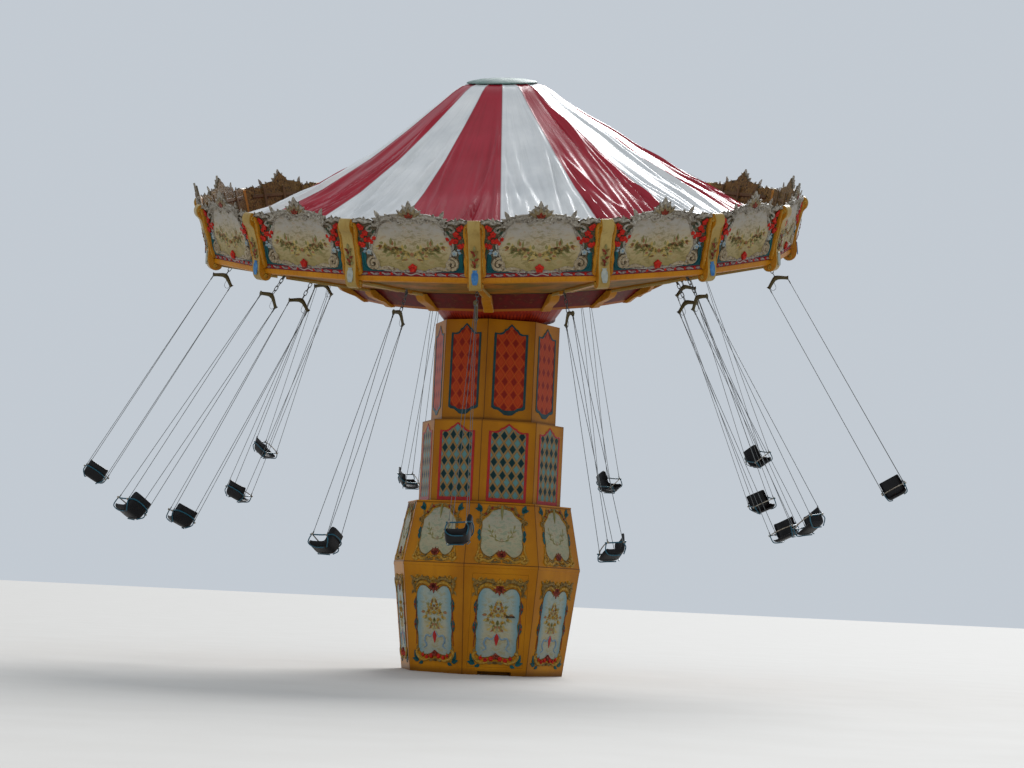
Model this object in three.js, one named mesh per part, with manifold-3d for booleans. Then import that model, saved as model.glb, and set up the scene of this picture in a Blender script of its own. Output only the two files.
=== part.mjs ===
// Chair swing ride: telescoping octagonal tower, tilting sixteen-sided crown, sixteen hanging seats.
// Millimetres, Z up, origin on the flat underside of the base at the tower axis.
import * as THREE from "three";
import { mergeVertices } from "three/addons/utils/BufferGeometryUtils.js";
import Module from "manifold-3d";

const wasm = await Module();
wasm.setup();

// Driving dimensions.

const RAD = Math.PI / 180;
const FIT = 0.3; // gap between pieces that sit on each other
const RUN = 0.5; // gap between bearing faces and sliding pads

// Crown: tilt pivot on the tower axis, tilt towards azimuth LOW_DEG (0 is -Y, 90 is +X).
const PIVOT_Z = 7881;
const TILT_DEG = 13.71;
const LOW_DEG = -12.9;
const SIDES = 16;
const PITCH = 360 / SIDES;
const ARM_DEG = -3.83;

// Octagonal base.
const BASE_DEG = -12.9;
const BASE_FOOT_R = 1690;
const BASE_BELT_R = 1964;
const BASE_TOP_R = 1720;
const FLOOR_H = 90;
const BELT_Z = 2120;
const BELT_H = 70;
const BASE_TOP_Z = 3408;
const DECK_H = 30;
const DECK_HOLE = 1500; // from the axis to each side of the octagonal hole
const BASE_WALL = 60;

// Access door in the front lower facet.
const DOOR_W = 1120;
const DOOR_FOOT = 70;
const DOOR_H = 1860;
const DOOR_T = 40;
const DOOR_GAP = 4;
const DOOR_REBATE = 14;
const SLOT_W = 680;
const SLOT_H = 75;

// Casings of the two lift stages.
const CASING_DEG = -8.5;
const MIDDLE_R = 1477;
const MIDDLE_LOW = 3010;
const MIDDLE_TOP = 5095;
const UPPER_R = 1303;
const UPPER_LOW = 4650;
const UPPER_TOP = 7150;
const CASING_WALL = 32;

// Masts, square tubes turned to the tilt axis.
const OUTER_MAST = 1000;
const MIDDLE_MAST = 900;
const INNER_MAST = 800;
const MAST_WALL = 30;
const TURNTABLE_Z = 200;
const CHEEK_X = 330;
const CHEEK_T = 60;
const CHEEK_R = 150;
const PIN_R = 60;
const PIN_SIDES = 48; // enough for the pin to turn in its bore

// Crown frame radii (on the corner lines) and heights above the pivot, square to the crown plane.
const SLEW_R = 520;
const SLEW_Z = 200;
const SLEW_TOP = 283;
const HUB_TOP = 680;
const NECK_LOW = [1160, -634];
const NECK_TOP = [1526, -100];
const BAND_LOW = [2880, -90];
const BAND_TOP = [3340, 297];
const SOFFIT_OUT = [5880, 790];
const SKIN = 25;
const PILASTER_HALF = 115;
const WING_HALF = 203;
const PANEL_LOW_Z = 900;
const PANEL_R = 6021; // front face of the foot, on the corner lines
const PANEL_LEAN = 12.5;
const PANEL_T = 30;
const PANEL_H = 1075;
const CREST_H = 1428;
const CANOPY = [
  [5900, 1400],
  [4960, 1811],
  [3950, 2292],
  [2940, 2865],
  [2050, 3440],
  [1300, 3920],
  [870, 4190],
  [670, 4290],
];
const CANOPY_T = 24;
const CAP_R = 710;
const CAP_Z = 4290;
const CAP_H = 50;

// Swings.
const OUTER_HOOK = [5478, 696];
const INNER_HOOK = [3980, 371];
const OUTER_FLING = 32.1;
const INNER_FLING = 25.6;
const FLING_BACK = 0.76;
const LINK = 481;
const ROPE = 4943;
const HOOK_PIN_R = 11;
const PIN_PLAY = 0.6;
const LUG_T = 16;
const YOKE_HALF = 225;
const SEAT_HALF = 240;
const ROPE_R = 6;

// Solids.

function solid(geometry) {
  const g = geometry.clone();
  g.deleteAttribute("normal");
  g.deleteAttribute("uv");
  const merged = mergeVertices(g, 1e-3);
  const made = new wasm.Manifold(
    new wasm.Mesh({
      numProp: 3,
      vertProperties: merged.attributes.position.array,
      triVerts: new Uint32Array(merged.index.array),
    }),
  );
  return made;
}

function joined(parts) {
  return parts.reduce((sum, part) => sum.add(part));
}

function moved(body, matrix) {
  return body.transform(matrix.elements);
}

function at(x, y, z) {
  return new THREE.Matrix4().makeTranslation(x, y, z);
}

function box(x0, x1, y0, y1, z0, z1) {
  const g = new THREE.BoxGeometry(x1 - x0, y1 - y0, z1 - z0);
  g.translate((x0 + x1) / 2, (y0 + y1) / 2, (z0 + z1) / 2);
  return solid(g);
}

function turned(degrees) {
  return new THREE.Matrix4().makeRotationZ(degrees * RAD);
}

// A closed radius-height profile turned about Z. Azimuth 0 of the first corner is -Y.
function ring(profile, sides, degrees) {
  const points = profile.map(([r, z]) => new THREE.Vector2(r, z));
  points.push(points[0].clone());
  const g = new THREE.LatheGeometry(points, sides);
  g.rotateX(Math.PI / 2);
  const made = solid(g);
  const out = made.volume() < 0 ? solid(flipped(g)) : made;
  return moved(out, turned(degrees));
}

function flipped(g) {
  const f = g.clone();
  const index = f.index.array;
  for (let i = 0; i < index.length; i += 3) {
    const kept = index[i + 1];
    index[i + 1] = index[i + 2];
    index[i + 2] = kept;
  }
  return f;
}

// A shell of revolution that follows a line of radius-height points, thickened upwards.
function skin(line, thickness, sides, degrees) {
  const back = [...line].reverse().map(([r, z]) => [r, z + thickness]);
  return ring([...line, ...back], sides, degrees);
}

// A flat outline in x-y pushed from z0 to z1.
function plate(outline, z0, z1) {
  const shape = new THREE.Shape(outline.map(([x, y]) => new THREE.Vector2(x, y)));
  const g = new THREE.ExtrudeGeometry(shape, { depth: z1 - z0, bevelEnabled: false });
  g.translate(0, 0, z0);
  return solid(g);
}

// An outline grown by a distance, with mitred corners.
function grown(outline, distance) {
  const count = outline.length;
  let area = 0;
  for (let i = 0; i < count; i += 1) {
    const [x0, y0] = outline[i];
    const [x1, y1] = outline[(i + 1) % count];
    area += x0 * y1 - x1 * y0;
  }
  const side = area > 0 ? 1 : -1;
  return outline.map(([x, y], i) => {
    const before = outline[(i + count - 1) % count];
    const after = outline[(i + 1) % count];
    const a = new THREE.Vector2(x - before[0], y - before[1]).normalize();
    const b = new THREE.Vector2(after[0] - x, after[1] - y).normalize();
    const na = new THREE.Vector2(a.y, -a.x);
    const nb = new THREE.Vector2(b.y, -b.x);
    const mitre = na.clone().add(nb).normalize();
    const reach = (side * distance) / Math.max(mitre.dot(na), 0.3);
    return [x + mitre.x * reach, y + mitre.y * reach];
  });
}

// A rod of round section between two points.
function rod(a, b, radius, sides) {
  const from = new THREE.Vector3(...a);
  const to = new THREE.Vector3(...b);
  const g = new THREE.CylinderGeometry(radius, radius, from.distanceTo(to), sides);
  const way = to.clone().sub(from).normalize();
  const turn = new THREE.Quaternion().setFromUnitVectors(new THREE.Vector3(0, 1, 0), way);
  g.applyQuaternion(turn);
  g.translate((a[0] + b[0]) / 2, (a[1] + b[1]) / 2, (a[2] + b[2]) / 2);
  return solid(g);
}

function squareTube(size, wall, z0, z1) {
  const h = size / 2;
  const i = h - wall;
  return box(-h, h, -h, h, z0, z1).subtract(box(-i, i, -i, i, z0 - 1, z1 + 1));
}

// An octagonal shell between two corner radii.
function octagonShell(r0, z0, r1, z1, wall, degrees) {
  const profile = [
    [r0, z0],
    [r1, z1],
    [r1 - wall, z1],
    [r0 - wall, z0],
  ];
  return ring(profile, 8, degrees);
}

// Frames.

const low = new THREE.Vector3(Math.sin(LOW_DEG * RAD), -Math.cos(LOW_DEG * RAD), 0);
const normal = low
  .clone()
  .multiplyScalar(Math.sin(TILT_DEG * RAD))
  .add(new THREE.Vector3(0, 0, Math.cos(TILT_DEG * RAD)));
const crownX = new THREE.Vector3(1, 0, 0).addScaledVector(normal, -normal.x).normalize();
const crownY = normal.clone().cross(crownX);
const crown = new THREE.Matrix4().makeBasis(crownX, crownY, normal).setPosition(0, 0, PIVOT_Z);
const tiltAxis = new THREE.Vector3(0, 0, 1).cross(low).normalize();
// The cradle's own frame: x along the trunnions, z along the crown's axis.
const cradleY = normal.clone().cross(tiltAxis);
const cradle = new THREE.Matrix4()
  .makeBasis(tiltAxis, cradleY, normal)
  .setPosition(0, 0, PIVOT_Z);

const group = new THREE.Group();
const finishes = {};

function finish(name, color, roughness, metalness) {
  finishes[name] = new THREE.MeshStandardMaterial({ name, color, roughness, metalness });
}

finish("amber_paint", 0xc98a2c, 0.45, 0.1);
finish("steel_grey", 0x6d7275, 0.5, 0.7);
finish("red_paint", 0x7a2420, 0.5, 0.1);
finish("orange_paint", 0xc2601f, 0.5, 0.1);
finish("cream_paint", 0xd8c79a, 0.5, 0.05);
finish("canopy_cloth", 0xb23a3f, 0.4, 0);
finish("cap_green", 0x8b9a80, 0.5, 0);
finish("seat_black", 0x1b1f24, 0.5, 0);

function piece(name, body, slot) {
  const mesh = body.getMesh();
  const count = mesh.numVert;
  const coords = new Float32Array(count * 3);
  for (let i = 0; i < count; i += 1) {
    coords.set(mesh.vertProperties.subarray(i * mesh.numProp, i * mesh.numProp + 3), i * 3);
  }
  const g = new THREE.BufferGeometry();
  g.setAttribute("position", new THREE.BufferAttribute(coords, 3));
  g.setIndex(new THREE.BufferAttribute(mesh.triVerts, 1));
  g.computeVertexNormals();
  const made = new THREE.Mesh(g, finishes[slot]);
  made.name = name;
  group.add(made);
}

// Base.

// Facet frame of the front lower facet: x to the right, y into the base, z up along the leaning facet.
const facetDeg = BASE_DEG + 22.5;
const apothem = Math.cos(22.5 * RAD);
const lean = Math.atan2((BASE_BELT_R - BASE_FOOT_R) * apothem, BELT_Z + BELT_H / 2);
const facet = turned(facetDeg)
  .multiply(at(0, -BASE_FOOT_R * apothem, 0))
  .multiply(new THREE.Matrix4().makeRotationX(lean));

function facetBox(x0, x1, y0, y1, z0, z1) {
  return moved(box(x0, x1, y0, y1, z0, z1), facet);
}

function baseR(z) {
  return BASE_FOOT_R + ((BASE_BELT_R - BASE_FOOT_R) * z) / (BELT_Z + BELT_H / 2);
}

const floorRing = ring(
  [
    [0, 0],
    [BASE_FOOT_R, 0],
    [baseR(FLOOR_H), FLOOR_H],
    [0, FLOOR_H],
  ],
  8,
  BASE_DEG,
);
const bearingSeat = ring(
  [
    [0, FLOOR_H - 1],
    [780, FLOOR_H - 1],
    [780, TURNTABLE_Z],
    [0, TURNTABLE_Z],
  ],
  24,
  0,
);
const footSlot = facetBox(-SLOT_W / 2, SLOT_W / 2, -20, 260, -30, SLOT_H);
piece("base_floor", floorRing.subtract(footSlot).add(bearingSeat), "steel_grey");

// The doorway has a rebate that the leaf closes against.
function doorCut(grow, depth) {
  const half = DOOR_W / 2 + grow;
  const foot = FLOOR_H + DOOR_FOOT - grow;
  return facetBox(-half, half, -40, depth, foot, foot + DOOR_H + 2 * grow);
}

const doorway = doorCut(DOOR_GAP, DOOR_T + FIT).add(doorCut(-DOOR_REBATE, BASE_WALL * 3));
const lowerShell = octagonShell(
  baseR(FLOOR_H + FIT),
  FLOOR_H + FIT,
  baseR(BELT_Z),
  BELT_Z,
  BASE_WALL,
  BASE_DEG,
);
piece("base_lower_shell", lowerShell.subtract(doorway), "amber_paint");

const leaf = facetBox(
  -DOOR_W / 2,
  DOOR_W / 2,
  0,
  DOOR_T,
  FLOOR_H + DOOR_FOOT,
  FLOOR_H + DOOR_FOOT + DOOR_H,
);
const handle = joined([
  facetBox(160, 330, -46, -30, 1170, 1192),
  facetBox(170, 192, -31, 1, 1170, 1192),
  facetBox(298, 320, -31, 1, 1170, 1192),
]);
piece("access_door", leaf.add(handle), "amber_paint");

const belt = ring(
  [
    [baseR(BELT_Z), BELT_Z + FIT],
    [BASE_BELT_R + 5, BELT_Z + 14],
    [BASE_BELT_R + 5, BELT_Z + BELT_H - 14],
    [BASE_BELT_R, BELT_Z + BELT_H - FIT],
    [BASE_BELT_R - BASE_WALL, BELT_Z + BELT_H - FIT],
    [BASE_BELT_R - BASE_WALL, BELT_Z + FIT],
  ],
  8,
  BASE_DEG,
);
piece("base_belt", belt, "orange_paint");
piece(
  "base_upper_shell",
  octagonShell(BASE_BELT_R, BELT_Z + BELT_H, BASE_TOP_R, BASE_TOP_Z, BASE_WALL, BASE_DEG),
  "amber_paint",
);
const deck = ring(
  [
    [0, BASE_TOP_Z + FIT],
    [BASE_TOP_R + 12, BASE_TOP_Z + FIT],
    [BASE_TOP_R, BASE_TOP_Z + DECK_H],
    [0, BASE_TOP_Z + DECK_H],
  ],
  8,
  BASE_DEG,
);
const deckHole = ring(
  [
    [0, BASE_TOP_Z - 20],
    [DECK_HOLE / apothem, BASE_TOP_Z - 20],
    [DECK_HOLE / apothem, BASE_TOP_Z + DECK_H + 20],
    [0, BASE_TOP_Z + DECK_H + 20],
  ],
  8,
  BASE_DEG,
);
piece("base_top_deck", deck.subtract(deckHole), "amber_paint");

// Column.

const mast = turned(LOW_DEG);
const outerMastTop = 1850;
const turntableDisc = ring(
  [
    [0, TURNTABLE_Z + RUN],
    [760, TURNTABLE_Z + RUN],
    [760, TURNTABLE_Z + 60],
    [0, TURNTABLE_Z + 60],
  ],
  24,
  0,
);
const outerMast = squareTube(OUTER_MAST, MAST_WALL, TURNTABLE_Z + 40, outerMastTop);
piece("turntable_mast", turntableDisc.add(moved(outerMast, mast)), "steel_grey");

// Sliding pads fill the play between one tube and the next, at both ends of the overlap.
function pads(size, outerSize, z0) {
  const reach = outerSize / 2 - MAST_WALL - RUN;
  const half = size / 2;
  const parts = [];
  for (let k = 0; k < 4; k += 1) {
    const pad = box(half - 2, reach, -110, 110, z0, z0 + 120);
    parts.push(moved(pad, turned(90 * k)));
  }
  return joined(parts);
}

function spider(z0, z1, cornerR, size) {
  const disc = ring(
    [
      [0, z0],
      [cornerR, z0],
      [cornerR, z1],
      [0, z1],
    ],
    8,
    CASING_DEG,
  );
  const inside = size / 2 - 5;
  const bore = moved(box(-inside, inside, -inside, inside, z0 - 1, z1 + 1), mast);
  return disc.subtract(bore);
}

const middleMastLow = 1400;
const middleMastTop = 3300;
const middleTube = joined([
  squareTube(MIDDLE_MAST, MAST_WALL, middleMastLow, middleMastTop),
  pads(MIDDLE_MAST, OUTER_MAST, middleMastLow + 10),
  pads(MIDDLE_MAST, OUTER_MAST, outerMastTop - 140),
]);
const middleSpider = spider(MIDDLE_LOW - 40, MIDDLE_LOW - FIT, MIDDLE_R, MIDDLE_MAST);
piece("middle_mast", moved(middleTube, mast).add(middleSpider), "steel_grey");

function casing(r, z0, z1) {
  return octagonShell(r, z0, r, z1, CASING_WALL / apothem, CASING_DEG);
}

const middleLid = ring(
  [
    [UPPER_R + 18, MIDDLE_TOP - 24],
    [MIDDLE_R - 2, MIDDLE_TOP - 24],
    [MIDDLE_R - 2, MIDDLE_TOP],
    [UPPER_R + 18, MIDDLE_TOP],
  ],
  8,
  CASING_DEG,
);
piece("middle_casing", casing(MIDDLE_R, MIDDLE_LOW, MIDDLE_TOP).add(middleLid), "amber_paint");

const innerMastLow = 2880;
const innerMastTop = 6920;
const innerTube = joined([
  squareTube(INNER_MAST, MAST_WALL, innerMastLow, innerMastTop - 20),
  box(
    -INNER_MAST / 2,
    INNER_MAST / 2,
    -INNER_MAST / 2,
    INNER_MAST / 2,
    innerMastTop - 40,
    innerMastTop,
  ),
  pads(INNER_MAST, MIDDLE_MAST, innerMastLow + 10),
  pads(INNER_MAST, MIDDLE_MAST, middleMastTop - 140),
]);
const ventHole = box(-60, 60, -INNER_MAST, INNER_MAST, innerMastTop - 260, innerMastTop - 140);
const upperSpider = spider(UPPER_LOW - 40, UPPER_LOW - FIT, UPPER_R, INNER_MAST);
const innerCorner = UPPER_R - CASING_WALL / apothem - FIT;
const topSpider = spider(innerMastTop - 90, innerMastTop - 60, innerCorner, INNER_MAST);
const innerMastBody = moved(innerTube.subtract(ventHole), mast).add(upperSpider).add(topSpider);
piece("inner_mast", innerMastBody, "steel_grey");
piece("upper_casing", casing(UPPER_R, UPPER_LOW, UPPER_TOP), "amber_paint");

// Mast head: foot plate and two cheeks that hold the trunnions.
function cheek(side) {
  const x0 = side * CHEEK_X;
  const x1 = side * (CHEEK_X + CHEEK_T);
  const inner = Math.min(x0, x1);
  const outer = Math.max(x0, x1);
  const web = box(inner, outer, -CHEEK_R, CHEEK_R, innerMastTop + 20, PIVOT_Z);
  const eye = rod([inner, 0, PIVOT_Z], [outer, 0, PIVOT_Z], CHEEK_R, 24);
  const bore = rod([inner - 5, 0, PIVOT_Z], [outer + 5, 0, PIVOT_Z], PIN_R + RUN, PIN_SIDES);
  return web.add(eye).subtract(bore);
}

const headPlate = box(-395, 395, -300, 300, innerMastTop + FIT, innerMastTop + 40);
piece("mast_head", moved(joined([headPlate, cheek(-1), cheek(1)]), mast), "steel_grey");

// Tilting cradle: trunnion block, neck and fixed half of the slewing ring.
const block = CHEEK_X - 5;
const cradleBody = joined([
  box(-block, block, -130, 130, -130, 130),
  rod([-CHEEK_X - CHEEK_T - 20, 0, 0], [CHEEK_X + CHEEK_T + 20, 0, 0], PIN_R, PIN_SIDES),
  box(-260, 260, -125, 125, 100, SLEW_Z + 10),
  ring(
    [
      [0, SLEW_Z],
      [SLEW_R, SLEW_Z],
      [SLEW_R, SLEW_TOP],
      [0, SLEW_TOP],
    ],
    32,
    0,
  ),
]);
piece("tilt_cradle", moved(cradleBody, cradle), "steel_grey");

// Crown.

function crownPiece(name, body, slot) {
  piece(name, moved(body, crown), slot);
}

// Height of a skin's underside on a line between two profile points.
function lineZ(from, to, r) {
  return from[1] + ((to[1] - from[1]) * (r - from[0])) / (to[0] - from[0]);
}

const hub = joined([
  ring(
    [
      [400, SLEW_TOP + RUN],
      [540, SLEW_TOP + RUN],
      [540, HUB_TOP],
      [400, HUB_TOP],
    ],
    32,
    0,
  ),
  ring(
    [
      [0, HUB_TOP - 40],
      [540, HUB_TOP - 40],
      [540, HUB_TOP],
      [0, HUB_TOP],
    ],
    32,
    0,
  ),
]);
const hubVent = ring(
  [
    [0, HUB_TOP - 60],
    [60, HUB_TOP - 60],
    [60, HUB_TOP + 20],
    [0, HUB_TOP + 20],
  ],
  12,
  0,
);
crownPiece("crown_hub", hub.subtract(hubVent), "steel_grey");

// King post from the hub up to the canopy's top ring.
const postTop = CAP_Z - CANOPY_T - FIT;
const kingPost = joined([
  ring(
    [
      [100, HUB_TOP + FIT],
      [300, HUB_TOP + FIT],
      [300, HUB_TOP + 30],
      [130, HUB_TOP + 30],
      [130, postTop],
      [100, postTop],
    ],
    16,
    0,
  ),
  ring(
    [
      [100, postTop - 60],
      [700, postTop - 60],
      [700, postTop - 17.5],
      [666, postTop],
      [100, postTop],
    ],
    SIDES,
    ARM_DEG,
  ),
]);
crownPiece("king_post", kingPost, "steel_grey");

function hookOf(k) {
  return k % 2 === 0 ? OUTER_HOOK : INNER_HOOK;
}

function radial(k) {
  const a = (ARM_DEG + PITCH * k) * RAD;
  return new THREE.Vector3(Math.sin(a), -Math.cos(a), 0);
}

// Rest direction of swing k as seen in the crown frame, where z is the crown's axis.
function hangOf(k) {
  const r = radial(k);
  const world = crownX.clone().multiplyScalar(r.x).addScaledVector(crownY, r.y);
  const heading = new THREE.Vector3(world.x, world.y, 0).normalize();
  heading.x -= FLING_BACK * normal.x;
  heading.y -= FLING_BACK * normal.y;
  heading.normalize();
  const fling = (k % 2 === 0 ? OUTER_FLING : INNER_FLING) * RAD;
  const d = heading.multiplyScalar(Math.sin(fling));
  d.z = -Math.cos(fling);
  return new THREE.Vector3(d.dot(crownX), d.dot(crownY), d.dot(normal));
}

// Frame of swing k hanging square to the crown: x is the hinge axis, z is up the ropes.
function hingeOf(k) {
  const d = hangOf(k);
  const axis = new THREE.Vector3(0, 0, -1).cross(d).normalize();
  const angle = Math.acos(-d.z);
  return { axis, angle };
}

function lugOf(k) {
  const [r, z] = hookOf(k);
  const { axis } = hingeOf(k);
  const out = radial(k);
  const turn = Math.atan2(axis.y, axis.x) / RAD;
  const place = at(out.x * r, out.y * r, z).multiply(turned(turn));
  const t = LUG_T / 2;
  const web = box(-t, t, -22, 22, 0, 90);
  const eye = rod([-t, 0, 0], [t, 0, 0], 24, 8);
  const bore = rod([-t - 5, 0, 0], [t + 5, 0, 0], HOOK_PIN_R + PIN_PLAY, 12);
  return moved(web.add(eye).subtract(bore), place);
}

// An arm's side view, drawn in radius and height, and pushed sideways.
const armHalf = 50;
const armClear = SKIN + 2.4;
const armInner = 520;
const armLow = BAND_TOP[1] + armClear + 60;
const armSide = [
  [armInner, armLow],
  [BAND_TOP[0] - 120, armLow],
  [BAND_TOP[0] + 300, lineZ(BAND_TOP, SOFFIT_OUT, BAND_TOP[0] + 300) + armClear],
  [5830, lineZ(BAND_TOP, SOFFIT_OUT, 5830) + armClear],
  [5982, 960],
  [6003, 1110],
  [5700, 1030],
  [BAND_TOP[0], 620],
  [armInner, 640],
];

function armOf(k) {
  const shape = plate(armSide, -armHalf, armHalf);
  const stand = new THREE.Matrix4().makeRotationX(Math.PI / 2);
  return moved(moved(shape, stand), turned(ARM_DEG + PITCH * k - 90));
}

const armRing = ring(
  [
    [540 + FIT, armLow],
    [700, armLow],
    [700, 640],
    [540 + FIT, 640],
  ],
  32,
  0,
);
const armBore = ring(
  [
    [0, armLow - 40],
    [540 + FIT, armLow - 40],
    [540 + FIT, 700],
    [0, 700],
  ],
  32,
  0,
);
const arms = [];
for (let k = 0; k < SIDES; k += 1) {
  arms.push(armOf(k));
}
const lugs = [];
const lugHoles = [];
for (let k = 0; k < SIDES; k += 1) {
  lugs.push(lugOf(k));
  const [r, z] = hookOf(k);
  const hole = box(r - 75, r + 75, -60, 60, z - 60, z + 140);
  lugHoles.push(moved(hole, turned(ARM_DEG + PITCH * k - 90)));
}
const armFrame = joined([joined(arms), armRing]).subtract(armBore).add(joined(lugs));
crownPiece("arm_frame", armFrame, "steel_grey");

const soffitLine = [
  [BAND_TOP[0] + 6, lineZ(BAND_TOP, SOFFIT_OUT, BAND_TOP[0] + 6)],
  [SOFFIT_OUT[0], SOFFIT_OUT[1]],
];
crownPiece(
  "soffit",
  skin(soffitLine, SKIN, SIDES, ARM_DEG).subtract(joined(lugHoles)),
  "amber_paint",
);

// Band: leaning face, flat underside and sixteen ribs.
const bandProfile = [
  NECK_TOP,
  BAND_LOW,
  BAND_TOP,
  [BAND_TOP[0] - 4, armLow - 2 * FIT],
  [BAND_TOP[0] - 44, armLow - 2 * FIT],
  [BAND_TOP[0] - 44, BAND_TOP[1] + 10],
  [BAND_LOW[0] - 26, BAND_LOW[1] + 30],
  [NECK_TOP[0], NECK_TOP[1] + 30],
];
const ribSide = [
  [BAND_LOW[0] - 40, BAND_LOW[1] - 6],
  [BAND_LOW[0] + 46, BAND_LOW[1] - 6],
  [BAND_LOW[0] + 190, 20],
  [BAND_TOP[0] + 30, 150],
  [BAND_TOP[0] + 120, 296],
  [BAND_TOP[0] + 4, 288],
  [BAND_LOW[0] + 20, BAND_LOW[1] + 40],
];

function ribOf(k) {
  const shape = plate(ribSide, -95, 95);
  const stand = new THREE.Matrix4().makeRotationX(Math.PI / 2);
  return moved(moved(shape, stand), turned(ARM_DEG + PITCH * k - 90));
}

const ribs = [];
for (let k = 0; k < SIDES; k += 1) {
  ribs.push(ribOf(k));
}
const band = joined([ring(bandProfile, SIDES, ARM_DEG), joined(ribs)]);
crownPiece("crown_band", band, "red_paint");

const neckLine = [
  [NECK_LOW[0], NECK_LOW[1]],
  [NECK_LOW[0] + 10, NECK_LOW[1] + 60],
  [NECK_TOP[0] - 6, NECK_TOP[1] - FIT],
];
const neckProfile = [
  ...neckLine,
  [NECK_TOP[0] - 50, NECK_TOP[1] - FIT],
  [NECK_LOW[0] - 18, NECK_LOW[1] + 56],
  [NECK_LOW[0] - 28, NECK_LOW[1]],
];
crownPiece("neck_skirt", ring(neckProfile, 32, ARM_DEG), "orange_paint");

// Orange moulding along the crown's lower edge.
const mouldProfile = [
  [SOFFIT_OUT[0] + FIT, SOFFIT_OUT[1] - 4],
  [5985, 786],
  [6032, 812],
  [6038, PANEL_LOW_Z - 30],
  [6027, PANEL_LOW_Z - FIT],
  [SOFFIT_OUT[0] + 60, PANEL_LOW_Z - FIT],
  [SOFFIT_OUT[0] + FIT, SOFFIT_OUT[1] + 30],
];
const armNotches = [];
for (let k = 0; k < SIDES; k += 1) {
  const notch = box(5700, 5989, -56, 56, 840, 1200);
  armNotches.push(moved(notch, turned(ARM_DEG + PITCH * k - 90)));
}
const pilasterNotches = [];
const pilasterSide = [
  [5850, 772],
  [5862, 712],
  [5915, 668],
  [5990, 658],
  [6062, 684],
  [6112, 742],
  [6130, 806],
  [6141, 905],
  [6124, 1060],
  [6139, 1240],
  [6217, 1527],
  [6256, 1670],
  [6326, 1745],
  [6354, 1820],
  [6350, 1890],
  [6312, 1952],
  [6255, 1968],
  [6214, 1930],
  [6205, 1860],
  [6156, 1640],
  [6058, 1200],
  [5996, 912],
  [6000, 780],
];

// The carved board behind a pilaster, wider than its face.
const wingSide = [
  [5998, 908],
  [6052, 908],
  [6074, 1000],
  [6112, 1200],
  [6214, 1640],
  [6256, 1800],
  [6268, 1880],
  [6250, 1925],
  [6212, 1925],
  [6156, 1640],
  [6058, 1200],
];

function pilasterOf(k, grow) {
  const half = PILASTER_HALF + grow;
  const wing = WING_HALF + grow;
  const face = plate(grown(pilasterSide, grow), -half, half);
  const board = plate(grown(wingSide, grow), -wing, wing);
  const stand = new THREE.Matrix4().makeRotationX(Math.PI / 2);
  return moved(moved(face.add(board), stand), turned(ARM_DEG + PITCH * k - 90));
}

for (let k = 0; k < SIDES; k += 1) {
  pilasterNotches.push(pilasterOf(k, FIT));
}
const mould = ring(mouldProfile, SIDES, ARM_DEG)
  .subtract(joined(pilasterNotches))
  .subtract(joined(armNotches));
crownPiece("rim_moulding", mould, "orange_paint");

// Rim sections: four flat leaning panels with crests, and their pilasters.
const panelLean = PANEL_LEAN * RAD;
const panelHalfLow = PANEL_R * Math.sin((PITCH / 2) * RAD);

function panelOf(k) {
  const half = panelHalfLow;
  const wide = half + PANEL_H * Math.tan(panelLean) * Math.sin((PITCH / 2) * RAD);
  const side = [
    [half, 0],
    [wide, PANEL_H],
    [1000, 1110],
    [870, 1080],
    [650, 1080],
    [590, 1160],
    [380, 1185],
    [220, 1200],
    [140, 1290],
    [50, CREST_H - 30],
  ];
  const otherSide = [...side].reverse().map(([x, y]) => [-x, y]);
  const outline = [...side, [0, CREST_H], ...otherSide];
  const shape = plate(outline, 0, PANEL_T);
  const stand = new THREE.Matrix4().makeRotationX(Math.PI / 2);
  const leaned = new THREE.Matrix4().makeRotationX(panelLean);
  const out = PANEL_R * Math.cos((PITCH / 2) * RAD);
  const place = turned(ARM_DEG + PITCH * (k + 0.5))
    .multiply(at(0, -out + PANEL_T, PANEL_LOW_Z + PANEL_T * Math.sin(panelLean)))
    .multiply(leaned)
    .multiply(stand);
  return moved(shape, place);
}

const QUARTERS = 4;
for (let q = 0; q < QUARTERS; q += 1) {
  const parts = [];
  for (let i = 0; i < SIDES / QUARTERS; i += 1) {
    const k = q * (SIDES / QUARTERS) + i;
    parts.push(panelOf(k));
    parts.push(pilasterOf(k, 0));
  }
  let section = joined(parts);
  const next = q * (SIDES / QUARTERS) + SIDES / QUARTERS;
  section = section.subtract(pilasterOf(next, FIT)).subtract(joined(armNotches));
  const beyond = box(5500, 6600, -FIT, 900, 400, 2600);
  const start = moved(beyond, turned(ARM_DEG + PITCH * next - 90));
  const side = moved(box(5500, 6600, -900, 0, 400, 2600), turned(ARM_DEG + PITCH * (next - 4) - 90));
  section = section.subtract(start).subtract(side.subtract(pilasterOf(next - 4, 0)));
  crownPiece("rim_section_" + (q + 1), section, "cream_paint");
}

// Canopy: thin tent with a rounded shoulder, open below.
const canopySkin = CANOPY.map(([r, z]) => [r, z]);
const canopyBack = [...CANOPY].reverse().map(([r, z]) => [r - 4, z - CANOPY_T]);
crownPiece("canopy", ring([...canopySkin, ...canopyBack], SIDES, ARM_DEG), "canopy_cloth");

const cap = ring(
  [
    [0, postTop + FIT],
    [640, postTop + FIT],
    [640, CAP_Z + FIT],
    [CAP_R - 20, CAP_Z + FIT],
    [CAP_R, CAP_Z + 14],
    [CAP_R, CAP_Z + CAP_H - 10],
    [CAP_R - 14, CAP_Z + CAP_H],
    [0, CAP_Z + CAP_H],
  ],
  SIDES,
  ARM_DEG,
);
crownPiece("canopy_cap", cap, "cap_green");

// Swings.

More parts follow.
